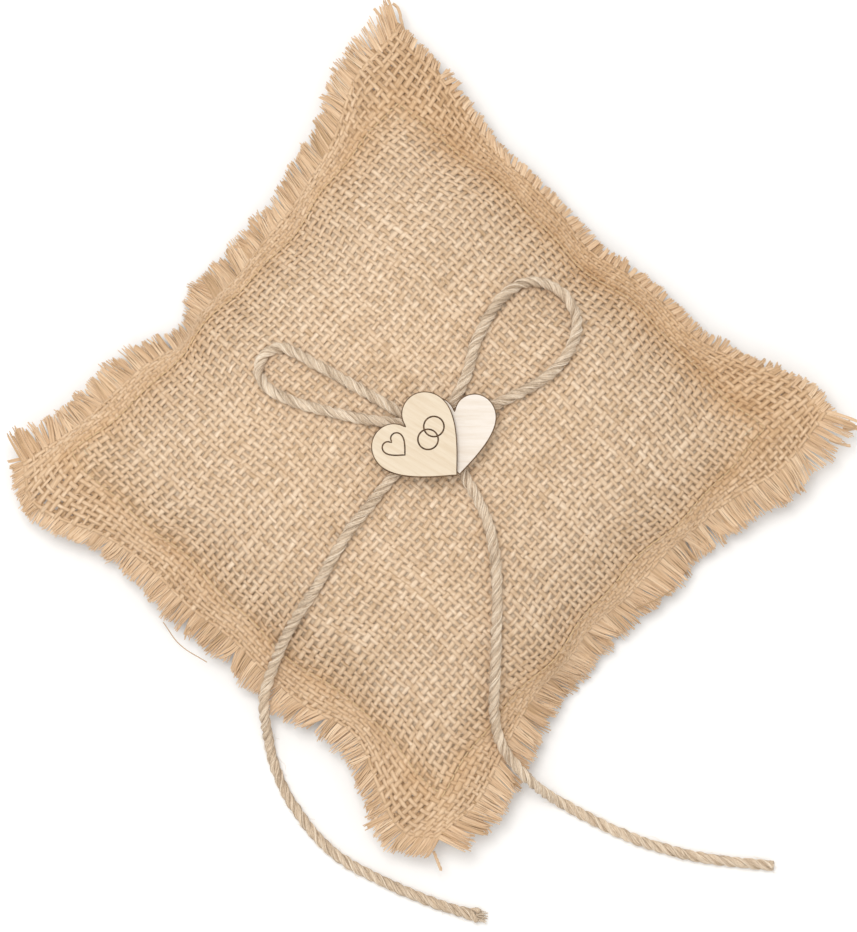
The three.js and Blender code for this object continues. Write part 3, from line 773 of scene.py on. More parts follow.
def flat_tubes(name, centre, across, out, wide, thick, tone, finish, nodes=(), sides=6, warm=None,
               paint_side_shade=False):
    """Rows of threads: centre lines (rows, points, 3) with an oval section, closed at both ends.
    Optionally each thread's sides get a mask of painted shade, darker away from the thread's top."""
    rows, points = centre.shape[:2]
    angle = np.arange(sides) / sides * 2 * np.pi + np.pi / sides
    level = across[:, :, None] * (np.cos(angle)[None, None, :] * wide[..., None])[..., None] / 2
    upright = out[:, :, None] * (np.sin(angle)[None, None, :] * thick[..., None])[..., None] / 2
    verts = (centre[:, :, None] + level + upright).reshape(-1, 3) * MM
    r, p, s = np.meshgrid(np.arange(rows), np.arange(points - 1), np.arange(sides), indexing="ij")
    a = (r * points + p) * sides + s
    b = (r * points + p) * sides + (s + 1) % sides
    quads = np.stack([a, a + sides, b + sides, b], axis=-1).reshape(-1, 4)
    step = np.linalg.norm(np.diff(centre, axis=1), axis=2)
    run = np.concatenate([np.zeros((rows, 1)), np.cumsum(step, axis=1)], axis=1) * MM
    along = run + np.arange(rows)[:, None] * ROW_APART
    length = run[:, -1].max()
    near, far = s / sides, (s + 1) / sides
    band = np.stack([near, near, far, far], axis=-1)
    girth = WEFT_WIDE * 2.6 * MM
    uv_u = np.stack([along[r, p], along[r, p + 1], along[r, p + 1], along[r, p]], axis=-1)
    uv_v = band * girth + (r * ROW_ASIDE)[..., None]
    bake_u = np.stack([run[r, p], run[r, p + 1], run[r, p + 1], run[r, p]], axis=-1) / length * 0.998 + 0.001
    bake_v = (r[..., None] + 0.04 + 0.92 * band) / rows
    caps = []
    for row in range(rows):
        first = row * points * sides
        last = first + (points - 1) * sides
        caps.append([first + k for k in range(sides)])
        caps.append([last + sides - 1 - k for k in range(sides)])
    mesh = bpy.data.meshes.new(name)
    mesh.from_pydata(verts, [], [tuple(q) for q in quads.tolist()] + caps)
    mesh.materials.append(finish)
    mesh.shade_smooth()
    run_caps, bake_caps = [], []
    for row in range(rows):
        for end in (0, points - 1):
            run_caps.extend([(along[row, end], row * ROW_ASIDE)] * sides)
            bake_caps.extend([(run[row, end] / length * 0.998 + 0.001, (row + 0.5) / rows)] * sides)
    for label, us, vs, ends in (("run", uv_u, uv_v, run_caps), ("OFBake", bake_u, bake_v, bake_caps)):
        set_map(mesh, label, np.concatenate([np.stack([us, vs], axis=-1).reshape(-1, 2), np.array(ends)]))
    mesh.uv_layers["OFBake"].active_render = True
    for label, values in (("tone", tone), ("warm", warm)):
        if values is not None:
            set_mask(mesh, label, np.repeat(values.reshape(-1), sides))
    # painted shade: a mask that is 0 on each thread's top and grows towards its sides and underside
    if paint_side_shade:
        set_mask(mesh, "painted_side_shade", np.tile(np.clip(1 - np.sin(angle), 0, 1.2), rows * points))
    piece = bpy.data.objects.new(name, mesh)
    bpy.context.scene.collection.objects.link(piece)
    return settle(piece, nodes)


def thread_places(pitch):
    """Cloth coordinates of a panel's threads, evenly spaced about its middle."""
    count = int(round(2 * CLOTH_HALF / pitch))
    return (np.arange(count) - (count - 1) / 2) * pitch / CLOTH_HALF


def border_share(u, v):
    """From 0 on the stuffed part to 1 on the sewn border, where the cloth is warmer in colour; up to 2
    with painted shade in the crease along the seam. The +X side gets more tan and more painted shade than the
    others."""
    far = np.maximum(np.abs(u), np.abs(v))
    t = np.clip((far - SEAM_AT + 0.20) / 0.26, 0, 1)
    place = np.where(np.abs(u) > np.abs(v), v, u) * CLOTH_HALF
    patchy = (0.55 + 0.25 * np.sin(place * 0.11 + 2 * np.sign(u))
              + 0.20 * np.sin(place * 0.29 + 3 * np.sign(v)))
    # painted shade: a patchy dark band in the crease along the seam
    crease_shade = np.exp(-((far - SEAM_AT - 0.015) / 0.045) ** 2) * patchy
    # more of the tan and of the painted crease shade towards the +X side
    plus_x_share = np.clip(0.5 + 1.5 * (u - np.abs(v)), 0, 1)
    return (t * t * (3 - 2 * t) + crease_shade) * (0.60 + 0.40 * plus_x_share)


def woven(layer, which, name, finish, slot, nodes, seed, sides, shift=0.0):
    """One set of threads of a panel, going over and under the other set. shift moves both sets, in
    threads."""
    rng = np.random.default_rng(seed)
    own, other = (WEFT_PITCH, WARP_PITCH) if which == "weft" else (WARP_PITCH, WEFT_PITCH)
    rows = thread_places(own) + shift * own / CLOTH_HALF
    crossings = thread_places(other) + shift * other / CLOTH_HALF
    half = (crossings[1] - crossings[0]) / 2
    pairs = np.stack([crossings, crossings + half], axis=1)
    run = np.concatenate([[crossings[0] - half], pairs.ravel()])
    lift = np.zeros(len(run))
    lift[1::2] = (-1.0) ** np.arange(len(crossings))
    sign = ((-1.0) ** np.arange(len(rows)))[:, None] * (1 if which == "weft" else -1)
    a, b = np.meshgrid(run, rows)
    wander = slow_noise(rng, len(rows), len(run), 26) * 0.30 / CLOTH_HALF
    b = b + wander + rng.normal(0, 0.16, (len(rows), 1)) / CLOTH_HALF
    u, v = (a, b) if which == "weft" else (b, a)
    centre, du, dv, normal = layer.frame(u, v)
    ahead = unit(du if which == "weft" else dv)
    across = unit(np.cross(normal, ahead))
    height = sign * lift * 0.40 * THREAD_THICK + 0.05 * rng.normal(size=a.shape)
    centre = centre + normal * height[..., None]
    slub = 1 + 0.13 * slow_noise(rng, len(rows), len(run), 40) + 0.10 * rng.normal(size=(len(rows), 1))
    width = (WEFT_WIDE if which == "weft" else WARP_WIDE) * slub * (1 + 0.05 * rng.normal(size=a.shape))
    rim = np.clip((np.maximum(np.abs(u), np.abs(v)) - 0.88) / 0.10, 0, 1)
    width = width * (1 - 0.14 * rim)
    thick = THREAD_THICK * (0.9 + 0.1 * slub)
    tone = 0.56 + 0.045 * rng.normal(size=(len(rows), 1)) + 0.06 * slow_noise(rng, len(rows), len(run), 30)
    tone = tone + 0.09 * rng.normal(size=a.shape)
    tone = np.clip(tone, 0.1, 0.9)
    return flat_tubes(name, centre, across, normal, width, thick, tone, finish, nodes, sides,
                      border_share(u, v), paint_side_shade=True)


# ---------------------------------------------------------------- strands grown along guide lines
def strand_tree():
    """Geometry nodes: turns guide lines into thin round strands that taper to their ends."""
    tree = bpy.data.node_groups.new("strands on guide lines", "GeometryNodeTree")
    for label, kind, value in (("Guide lines", "NodeSocketGeometry", None),
                               ("Thickness", "NodeSocketFloat", 0.0005),
                               ("Sides", "NodeSocketInt", 4), ("Kink", "NodeSocketFloat", 0.0),
                               ("Seed", "NodeSocketInt", 1), ("Finish", "NodeSocketMaterial", None)):
        socket = tree.interface.new_socket(label, in_out="INPUT", socket_type=kind)
        if value is not None:
            socket.default_value = value
    tree.interface.new_socket("Strands", in_out="OUTPUT", socket_type="NodeSocketGeometry")
    n = Nodes(tree)
    given = tree.nodes.new("NodeGroupInput").outputs
    end = tree.nodes.new("NodeGroupOutput").inputs
    lines = n.add("GeometryNodeMeshToCurve", Mesh=given["Guide lines"])
    jolt = n.add("FunctionNodeRandomValue", {"data_type": "FLOAT_VECTOR"})
    jolt.inputs[0].default_value = (-1, -1, -1)
    jolt.inputs[1].default_value = (1, 1, 1)
    n.feed(jolt.inputs["Seed"], given["Seed"])
    scaled = n.add("ShaderNodeVectorMath", {"operation": "SCALE"})
    n.feed(scaled.inputs[0], jolt.outputs[0])
    n.feed(scaled.inputs["Scale"], given["Kink"])
    kinked = n.add("GeometryNodeSetPosition", Geometry=lines.outputs[0], Offset=scaled.outputs[0])
    width = n.add("GeometryNodeInputNamedAttribute", {"data_type": "FLOAT"}, Name="width")
    radius = n.math("MULTIPLY", width.outputs[0], given["Thickness"])
    half = n.math("MULTIPLY", radius, 0.5)
    sized = n.add("GeometryNodeSetCurveRadius", Curve=kinked.outputs[0], Radius=half)
    ring = n.add("GeometryNodeCurvePrimitiveCircle", {"mode": "RADIUS"})
    n.feed(ring.inputs["Resolution"], given["Sides"])
    n.feed(ring.inputs["Radius"], 1.0)
    tube = tree.nodes.new("GeometryNodeCurveToMesh")
    n.feed(tube.inputs["Curve"], sized.outputs[0])
    n.feed(tube.inputs["Profile Curve"], ring.outputs[0])
    tube.inputs["Fill Caps"].default_value = True
    if "Scale" in tube.inputs:
        reach = n.add("GeometryNodeInputRadius")
        n.feed(tube.inputs["Scale"], reach.outputs[0])
    smooth = n.add("GeometryNodeSetShadeSmooth", Geometry=tube.outputs[0])
    whole = n.add("GeometryNodeRealizeInstances", Geometry=smooth.outputs[0])
    painted = n.add("GeometryNodeSetMaterial", Geometry=whole.outputs[0], Material=given["Finish"])
    n.feed(end[0], painted.outputs[0])
    return tree


def apply_tree(source, tree, values, name):
    """Sets the tree's inputs by identifier, turns the result into a plain mesh and drops the modifier."""
    modifier = source.modifiers.new("nodes", "NODES")
    modifier.node_group = tree
    for item in tree.interface.items_tree:
        if item.item_type == "SOCKET" and item.in_out == "INPUT" and item.name in values:
            modifier[item.identifier] = values[item.name]
    source.update_tag()
    view = bpy.context.evaluated_depsgraph_get()
    mesh = bpy.data.meshes.new_from_object(source.evaluated_get(view), depsgraph=view)
    mesh.name = name
    source.modifiers.remove(modifier)
    bpy.data.objects.remove(source)
    piece = bpy.data.objects.new(name, mesh)
    bpy.context.scene.collection.objects.link(piece)
    return piece


def strand_maps(mesh, lines, thickness, sides):
    """The run map that the fibre finish reads, and a map with each strand in a place of its own."""
    count, points = lines.shape[:2]
    corner = np.empty(len(mesh.loops), np.int32)
    mesh.loops.foreach_get("vertex_index", corner)
    ring = corner % sides
    place = corner // sides
    strand = place // points
    along = (place % points) / (points - 1)
    face = np.empty(len(mesh.polygons), np.int32)
    mesh.polygons.foreach_get("loop_start", face)
    owner = np.repeat(np.arange(len(mesh.polygons)), np.diff(np.append(face, len(mesh.loops))))
    has_last = np.zeros(len(mesh.polygons), bool)
    np.logical_or.at(has_last, owner, ring == sides - 1)
    has_first = np.zeros(len(mesh.polygons), bool)
    np.logical_or.at(has_first, owner, ring == 0)
    wraps = (has_last & has_first)[owner] & (ring == 0)
    turned = (ring + np.where(wraps, sides, 0)) / sides
    long = np.linalg.norm(np.diff(lines, axis=1), axis=2).sum(axis=1)
    run_u = along * long[strand] * MM + strand * 0.0173
    run_v = turned * thickness * 3 * MM + strand * 0.0091
    set_map(mesh, "run", np.stack([run_u, run_v], 1))
    across = int(math.ceil(math.sqrt(count / 6)))
    down = int(math.ceil(count / across))
    bake_u = ((strand % across) + 0.03 + 0.94 * along) / across
    bake_v = ((strand // across) + 0.06 + 0.88 * turned) / down
    set_map(mesh, "OFBake", np.stack([bake_u, bake_v], 1))


def strands(name, lines, widths, tones, thickness, sides, kink, seed, finish, nodes=()):
    """Grows a round strand on each guide line; lines (count, points, 3) are in mm."""
    count, points = lines.shape[:2]
    source = bpy.data.meshes.new("guides")
    first = np.arange(count)[:, None] * points + np.arange(points - 1)[None, :]
    edges = np.stack([first, first + 1], axis=-1).reshape(-1, 2)
    source.from_pydata(lines.reshape(-1, 3) * MM, edges.tolist(), [])
    for label, values in (("width", widths), ("tone", tones)):
        set_mask(source, label, np.broadcast_to(values, (count, points)))
    guides = bpy.data.objects.new("guides", source)
    bpy.context.scene.collection.objects.link(guides)
    values = {"Thickness": thickness * MM, "Sides": sides, "Kink": kink * MM, "Seed": seed, "Finish": finish}
    piece = apply_tree(guides, bpy.data.node_groups["strands on guide lines"], values, name)
    mesh = piece.data
    if "width" in mesh.attributes:
        mesh.attributes.remove(mesh.attributes["width"])
    for layer in list(mesh.uv_layers):
        mesh.uv_layers.remove(layer)
    strand_maps(mesh, lines, thickness, sides)
    return settle(piece, nodes)


def fringe(layer, name, seed, finish, lowest, shift=0.0):
    """The frayed end of every thread beyond the last cross thread: a flat bundle of combed wisps."""
    rng = np.random.default_rng(seed)
    points = 8
    t = np.linspace(0, 1, points)[None, :, None]
    paths, widths, tones = [], [], []
    for side, which, end in (("+X", "weft", 1), ("-X", "weft", -1), ("+Y", "warp", 1), ("-Y", "warp", -1)):
        pitch = WEFT_PITCH if which == "weft" else WARP_PITCH
        rows = thread_places(pitch) + shift * pitch / CLOTH_HALF
        other = thread_places(WARP_PITCH if which == "weft" else WEFT_PITCH)
        count = len(rows)
        last = np.full(count, end * (abs(other[-1]) - 0.004))
        u, v = (last, rows) if which == "weft" else (rows, last)
        root, du, dv, normal = layer.frame(u, v)
        ahead = unit(du if which == "weft" else dv) * end
        across = unit(np.cross(normal, ahead))
        flat_ahead = unit(ahead * np.array([1, 1, 0.45]))
        onward = np.sign(np.sum(across * (dv if which == "weft" else du), axis=1))
        bunch = np.cumsum(rng.random(count) < 0.40)
        middle = np.array([rows[bunch == k].mean() for k in range(bunch.max() + 1)])[bunch]
        toward = (middle - rows) * CLOTH_HALF * onward
        fan = 0.55 * np.sign(rows) * np.clip((np.abs(rows) - 0.86) / 0.12, 0, 1) ** 1.5 * onward
        lean = rng.normal(0, 0.09, bunch.max() + 1)[bunch] + 0.14 * slow_noise(rng, 1, count, 10)[0] + fan
        long = SIDES[side]["fringe"] * (1 + 0.10 * slow_noise(rng, 1, count, 14)[0]
                                        + 0.08 * rng.normal(size=count))
        long = long * (1 - SIDES[side]["shorter"] * np.clip((rows - 0.35) / 0.45, 0, 1))
        rise = rng.normal(0, 0.30, bunch.max() + 1)[bunch]
        shade = 0.58 + 0.10 * rng.normal(size=count) + 0.06 * slow_noise(rng, 1, count, 16)[0]
        bend = rng.normal(0, 0.09, bunch.max() + 1)[bunch]
        slim = rng.uniform(*SIDES[side]["spread"], count)
        for k in range(WISPS):
            place = (k - (WISPS - 1) / 2) / (WISPS - 1) * slim * pitch
            reach = np.clip(long * (1 + 0.045 * rng.normal(size=count)), 1.6, 16.0)[:, None, None]
            own = rng.normal(0, 0.026, count)
            curl = bend + rng.normal(0, 0.018, count)
            forward = ahead[:, None] * (1 - t) + flat_ahead[:, None] * t
            far = t[..., 0]
            drift = (place[:, None] + toward[:, None] * 0.20 * far
                     + (lean + own)[:, None] * reach[..., 0] * far
                     + curl[:, None] * reach[..., 0] * (far ** 2))
            path = (root[:, None] + forward * reach * t + across[:, None] * drift[..., None]
                    + normal[:, None] * ((rise + rng.normal(0, 0.08, count))[:, None, None] * t))
            paths.append(path)
            widths.append(np.interp(t[0, :, 0], [0, 0.85, 1], [1.0, 0.95, 0.65])[None]
                          * rng.uniform(0.85, 1.2, (count, 1)))
            tones.append(np.clip(shade + 0.10 * rng.normal(size=count), 0.15, 0.95)[:, None] + 0 * t[..., 0])
    path = np.concatenate(paths)
    path[..., 2] = np.maximum(path[..., 2], lowest + 0.25 * rng.random((len(path), 1)))
    return strands(name, path, np.concatenate(widths), np.concatenate(tones), WISP_THICK, 4, 0.03, seed,
                   finish)


def stray_threads(finish):
    """The single threads and thin hairs that have come loose round the raw edge."""
    points = 16
    lines, widths = [], []
    for thick, group, turns in ((1.0, LOOSE_THREADS, (0, 2.1, 4.2)), (0.55, LOOSE_HAIRS, (0,))):
        offset = 0.28 if len(turns) > 1 else 0.0
        for route in group:
            line = smooth_line([(x, y, LOOSE_HEIGHT) for x, y in route], 0.2)
            pick = np.linspace(0, len(line) - 1, points).round().astype(int)
            for turn in turns:
                wind = np.linspace(0, 9, points) + turn
                around = np.stack([np.cos(wind), np.sin(wind), np.sin(wind)], axis=1) * offset
                lines.append(line[pick] + around)
                widths.append(np.full(points, thick))
    tone = np.where(np.array(widths)[:, :1] > 0.9, 0.6, 0.12)
    return strands("stray_threads", np.array(lines), np.array(widths), tone, 0.62, 5, 0.02, 61, finish)


def surface_hairs(layer, name, count, seed, finish):
    """Fine loose fibres lying every way over the cloth."""
    rng = np.random.default_rng(seed)
    points = 5
    u, v = rng.uniform(-0.98, 0.98, (2, count))
    angle = rng.uniform(0, 2 * np.pi, count)
    curl = rng.normal(0, 1.1, count)
    long = rng.gamma(3.0, 0.75, count).clip(0.8, 6.5) / CLOTH_HALF
    path = np.zeros((count, points, 3))
    for k, t in enumerate(np.linspace(0, 1, points)):
        heading = angle + curl * t
        p, _, _, normal = layer.frame(u, v)
        lift = 0.62 + rng.uniform(0.0, 0.28, count) + 0.35 * math.sin(math.pi * t)
        path[:, k] = p + normal * lift[:, None]
        u = u + np.cos(heading) * long / points
        v = v + np.sin(heading) * long / points
    width = np.linspace(1.0, 0.5, points)[None] * rng.uniform(0.7, 1.4, (count, 1))
    tone = rng.uniform(0.35, 1.0, (count, 1))
    return strands(name, path, width, tone, 0.11, 3, 0.05, seed, finish)


# ---------------------------------------------------------------- twine
def smooth_line(points, step):
    """An even line through the points, by a spline that keeps their shape, in millimetres."""
    p = np.array(points, float)
    p = np.vstack([2 * p[0] - p[1], p, 2 * p[-1] - p[-2]])
    gaps = np.sqrt(np.linalg.norm(np.diff(p, axis=0), axis=1))
    knots = np.concatenate([[0], np.cumsum(gaps)])
    line = []
    for k in range(1, len(p) - 2):
        t0, t1, t2, t3 = knots[k - 1:k + 3]
        t = np.linspace(t1, t2, 24, endpoint=False)[:, None]
        a1 = (t1 - t) / (t1 - t0) * p[k - 1] + (t - t0) / (t1 - t0) * p[k]
        a2 = (t2 - t) / (t2 - t1) * p[k] + (t - t1) / (t2 - t1) * p[k + 1]
        a3 = (t3 - t) / (t3 - t2) * p[k + 1] + (t - t2) / (t3 - t2) * p[k + 2]
        b1 = (t2 - t) / (t2 - t0) * a1 + (t - t0) / (t2 - t0) * a2
        b2 = (t3 - t) / (t3 - t1) * a2 + (t - t1) / (t3 - t1) * a3
        line.append((t2 - t) / (t2 - t1) * b1 + (t - t1) / (t2 - t1) * b2)
    line = np.vstack(line + [p[-2][None]])
    for _ in range(6):
        line[1:-1] = (line[:-2] + 2 * line[1:-1] + line[2:]) / 4
    run = run_along(line)
    even = np.linspace(0, run[-1], int(run[-1] / step) + 1)
    return np.stack([np.interp(even, run, line[:, k]) for k in range(3)], axis=1)


def line_frames(line):
    """A direction and two sideways directions all along a line, without a twist of their own."""
    ahead = unit(np.gradient(line, axis=0))
    side = np.zeros_like(line)
    start = np.array([0, 0, 1.0])
    side[0] = unit(np.cross(ahead[0], start))
    for k in range(1, len(line)):
        side[k] = unit(side[k - 1] - ahead[k] * np.dot(side[k - 1], ahead[k]))
    return ahead, side, np.cross(ahead, side)


def twist(line, rng, opened=0.0):
    """Centre lines of the three plies, and each ply's thickness along it."""
    ahead, side, lift = line_frames(line)
    run = run_along(line)
    uneven = slow_noise(rng, 1, len(line), max(4, int(run[-1] / 12)))[0]
    phase = run / TWIST_PITCH * 2 * np.pi + 0.55 * uneven
    plies, widths = [], []
    for k in range(3):
        angle = phase + k * 2 * np.pi / 3
        off = PLY_OFFSET * (1 + 0.05 * slow_noise(rng, 1, len(line), 16)[0])
        if opened:
            spread = np.clip((run - run[-1] + opened) / opened, 0, 1) ** 2
            off = off * (1 + 1.1 * spread)
        plies.append(line + side * (np.cos(angle) * off)[:, None] + lift * (np.sin(angle) * off)[:, None])
        swelling = slow_noise(rng, 1, len(line), max(6, int(run[-1] / 5)))[0]
        widths.append(2 * PLY_RADIUS * (1 + 0.06 * swelling))
    return np.array(plies), np.array(widths)


def rested(line, layer):
    """The line lowered or raised so that the twine just lies on the cloth, its fringe and the floor."""
    side = np.linspace(-1.0, 1.0, 400)
    u, v = np.meshgrid(side, side)
    cloth = layer.at(u, v).reshape(-1, 3)
    under = np.zeros(len(line))
    for k, point in enumerate(line):
        away = np.hypot(cloth[:, 0] - point[0], cloth[:, 1] - point[1])
        near = away < 1.3
        if near.any():
            under[k] = cloth[near, 2].max() + 0.35
        elif away.min() < 9.5:
            under[k] = cloth[np.argmin(away), 2] + 0.45
    slope = np.clip(np.abs(np.gradient(under)) / 0.45, 0, 1.2)
    height = np.maximum(under + 1.85 * np.sqrt(1 + slope ** 2 * 0.5), 1.9)
    run = run_along(line[:, :2])
    height = (height[None, :] - 0.95 * np.abs(run[:, None] - run[None, :])).max(axis=1)
    for _ in range(70):
        height[1:-1] = (height[:-2] + 2 * height[1:-1] + height[2:]) / 4
    line = line.copy()
    line[:, 2] = np.maximum(height, 1.9)
    return line


def ply_fibres(name, plies, widths, seed, finish):
    """Long fibres lying on each ply, turning slowly round it."""
    rng = np.random.default_rng(seed)
    each = 9
    keep = np.arange(0, plies.shape[1], round(0.9 / TWINE_STEP))
    paths, tones, thick = [], [], []
    for k in range(3):
        line = plies[k][keep]
        ahead, side, lift = line_frames(line)
        run = run_along(line)
        radius = widths[k][keep] / 2 * 0.97
        for j in range(each):
            wander = slow_noise(rng, 1, len(keep), max(4, int(run[-1] / 9)))[0]
            angle = j / each * 2 * np.pi + run / 9.0 * np.pi + 0.5 * wander
            out = side * np.cos(angle)[:, None] + lift * np.sin(angle)[:, None]
            paths.append(line + out * radius[:, None] * (1 + 0.06 * rng.random()))
            tone = rng.uniform(0.05, 1.05) + 0.22 * slow_noise(rng, 1, len(keep), 12)[0]
            tones.append(np.clip(tone, 0.1, 1))
            thick.append(rng.uniform(0.7, 1.5) * (1 + 0.2 * slow_noise(rng, 1, len(keep), 20)[0]))
    paths = np.array(paths)
    paths[..., 2] = np.maximum(paths[..., 2], 0.26)
    return strands(name, paths, np.array(thick), np.array(tones), 0.24, 4, 0.03, seed, finish)


def twine_piece(name, points, layer, node, seed, finish, opened=0.0):
    """One length of twine along its points, laid on the cloth. opened is the length of a frayed end."""
    rng = np.random.default_rng(seed)
    line = rested(smooth_line(points, TWINE_STEP), layer)
    plies, widths = twist(line, rng, opened)
    plies[..., 2] = np.maximum(plies[..., 2], widths / 2 + 0.05)
    ahead = unit(np.gradient(plies, axis=1))
    side = unit(np.cross(ahead, np.array([0, 0, 1.0])))
    lift = np.cross(side, ahead)
    knots = int(len(line) * TWINE_STEP / 4)
    tone = 0.5 + 0.10 * rng.normal(size=(3, 1)) + 0.16 * slow_noise(rng, 3, len(line), knots)
    piece = flat_tubes(name, plies, side, lift, widths, widths * 0.97, np.clip(tone, 0.1, 0.9), finish,
                       (node,), sides=12)
    hairs = twine_hairs(name + "_hairs", line, seed + 50, finish, opened)
    fibres = ply_fibres(name + "_fibres", plies, widths, seed + 70, finish)
    return piece


def twine_hairs(name, line, seed, finish, opened):
    """Loose fibres that stand off the twine, and a brush of fibres at a frayed end."""
    rng = np.random.default_rng(seed)
    ahead, side, lift = line_frames(line)
    count = int(len(line) * TWINE_STEP * 1.5)
    points = 6
    at = rng.integers(2, len(line) - 2, count)
    angle = rng.uniform(0, 2 * np.pi, count)
    long = rng.gamma(3.0, 0.95, count).clip(1.0, 7.5)
    out = side[at] * np.cos(angle)[:, None] + lift[at] * np.sin(angle)[:, None]
    turn = rng.choice([-1, 1], count)
    path = np.zeros((count, points, 3))
    for k, t in enumerate(np.linspace(0, 1, points)):
        off = 1.35 + 0.9 * long * t ** 1.3 * rng.uniform(0.15, 0.6, count)
        path[:, k] = line[at] + out * off[:, None] + ahead[at] * (turn * long * t)[:, None]
    width = np.broadcast_to(np.linspace(1, 0.4, points)[None, :], (count, points)).copy()
    tone = rng.uniform(0.45, 0.95, (count, 1))
    if opened:
        extra = 46
        start = line[-1 - int(1.2 / TWINE_STEP)]
        direction = ahead[-1]
        spray = np.zeros((extra, points, 3))
        radius = 1.3 * np.sqrt(rng.random(extra))
        angle = rng.uniform(0, 2 * np.pi, extra)
        off = side[-1] * (np.cos(angle) * radius)[:, None] + lift[-1] * (np.sin(angle) * radius)[:, None]
        reach = rng.uniform(1.8, 4.2, extra)
        for k, t in enumerate(np.linspace(0, 1, points)):
            spray[:, k] = start + off * (1 + 0.8 * t) + direction * (reach * t)[:, None]
        path = np.concatenate([path, spray])
        width = np.concatenate([width, np.full((extra, points), 2.2)])
        tone = np.concatenate([tone, rng.uniform(0.4, 0.9, (extra, 1))])
    path[..., 2] = np.maximum(path[..., 2], 0.12)
    return strands(name, path, width, tone, 0.12, 3, 0.08, seed, finish)


def knot_turns(finish):
    """The bow's knot: two turns of twine round the middle, pressed down by the hearts."""
    rng = np.random.default_rng(5)
    turn = np.linspace(0, 1, 420) * 2 * 2 * np.pi
    grow = 0.84 + 0.16 * np.sin(turn * 0.5)
    x = KNOT_PLACE[0] + 4.3 * np.cos(turn) * grow
    y = KNOT_PLACE[1] + 3.4 * np.sin(turn) * grow
    z = KNOT_MIDDLE + 0.35 * np.sin(turn * 1.5)
    line = np.stack([x, y, z], axis=1)
    plies, widths = twist(line, rng)
    plies[..., 2] = KNOT_MIDDLE + (plies[..., 2] - KNOT_MIDDLE) * 0.85
    ahead = unit(np.gradient(plies, axis=1))
    side = unit(np.cross(ahead, np.array([0, 0, 1.0])))
    lift = np.cross(side, ahead)
    tone = np.full(plies.shape[:2], 0.5)
    return flat_tubes("bow_knot_turns", plies, side, lift, widths, widths * 0.9, tone, finish,
                      ("bow_knot",), sides=10)


# ---------------------------------------------------------------- stuffed inner bag
def bag_mesh(name, front, back, inset, depth, hug, least, finish, nodes):
    """A closed bag just inside the two panels: inset from the seam in cloth units, depth in mm inwards.
    hug says how close to its own rim the bag still keeps to the panels, least the share of the depth that
    is left at the rim."""
    top, bottom = Layer(front, 1), Layer(back, -1)
    reach = SEAM_AT - inset
    line = np.linspace(-reach, reach, 97)
    u, v = np.meshgrid(line, line)
    p, _, _, n = top.frame(u, v)
    q, _, _, m = bottom.frame(u, v)
    rim = np.clip((1 - np.maximum(np.abs(u), np.abs(v)) / reach) / 0.08, 0, 1)[..., None]
    upper = p - n * depth * np.maximum(rim, least)
    lower = q - m * depth * np.maximum(rim, least)
    middle = (upper + lower) / 2
    thin = np.clip(rim * hug, 0, 1)
    upper = middle + (upper - middle) * (0.15 + 0.85 * thin)
    lower = middle + (lower - middle) * (0.15 + 0.85 * thin)
    upper[..., 2] = np.maximum(upper[..., 2], lower[..., 2] + 0.2)
    size = len(line)
    number = np.arange(size * size).reshape(size, size)
    edge = (np.abs(u) > reach - 1e-9) | (np.abs(v) > reach - 1e-9)
    verts = list(map(tuple, upper.reshape(-1, 3) * MM))
    under = number.copy()
    for j in range(size):
        for i in range(size):
            if not edge[j, i]:
                under[j, i] = len(verts)
                verts.append(tuple(lower[j, i] * MM))
    faces = []
    for j in range(size - 1):
        for i in range(size - 1):
            square = (number[j, i], number[j, i + 1], number[j + 1, i + 1], number[j + 1, i])
            faces.append([int(k) for k in square])
            square = (under[j, i], under[j + 1, i], under[j + 1, i + 1], under[j, i + 1])
            faces.append([int(k) for k in square])
    return add_piece(name, verts, faces, [finish], nodes)


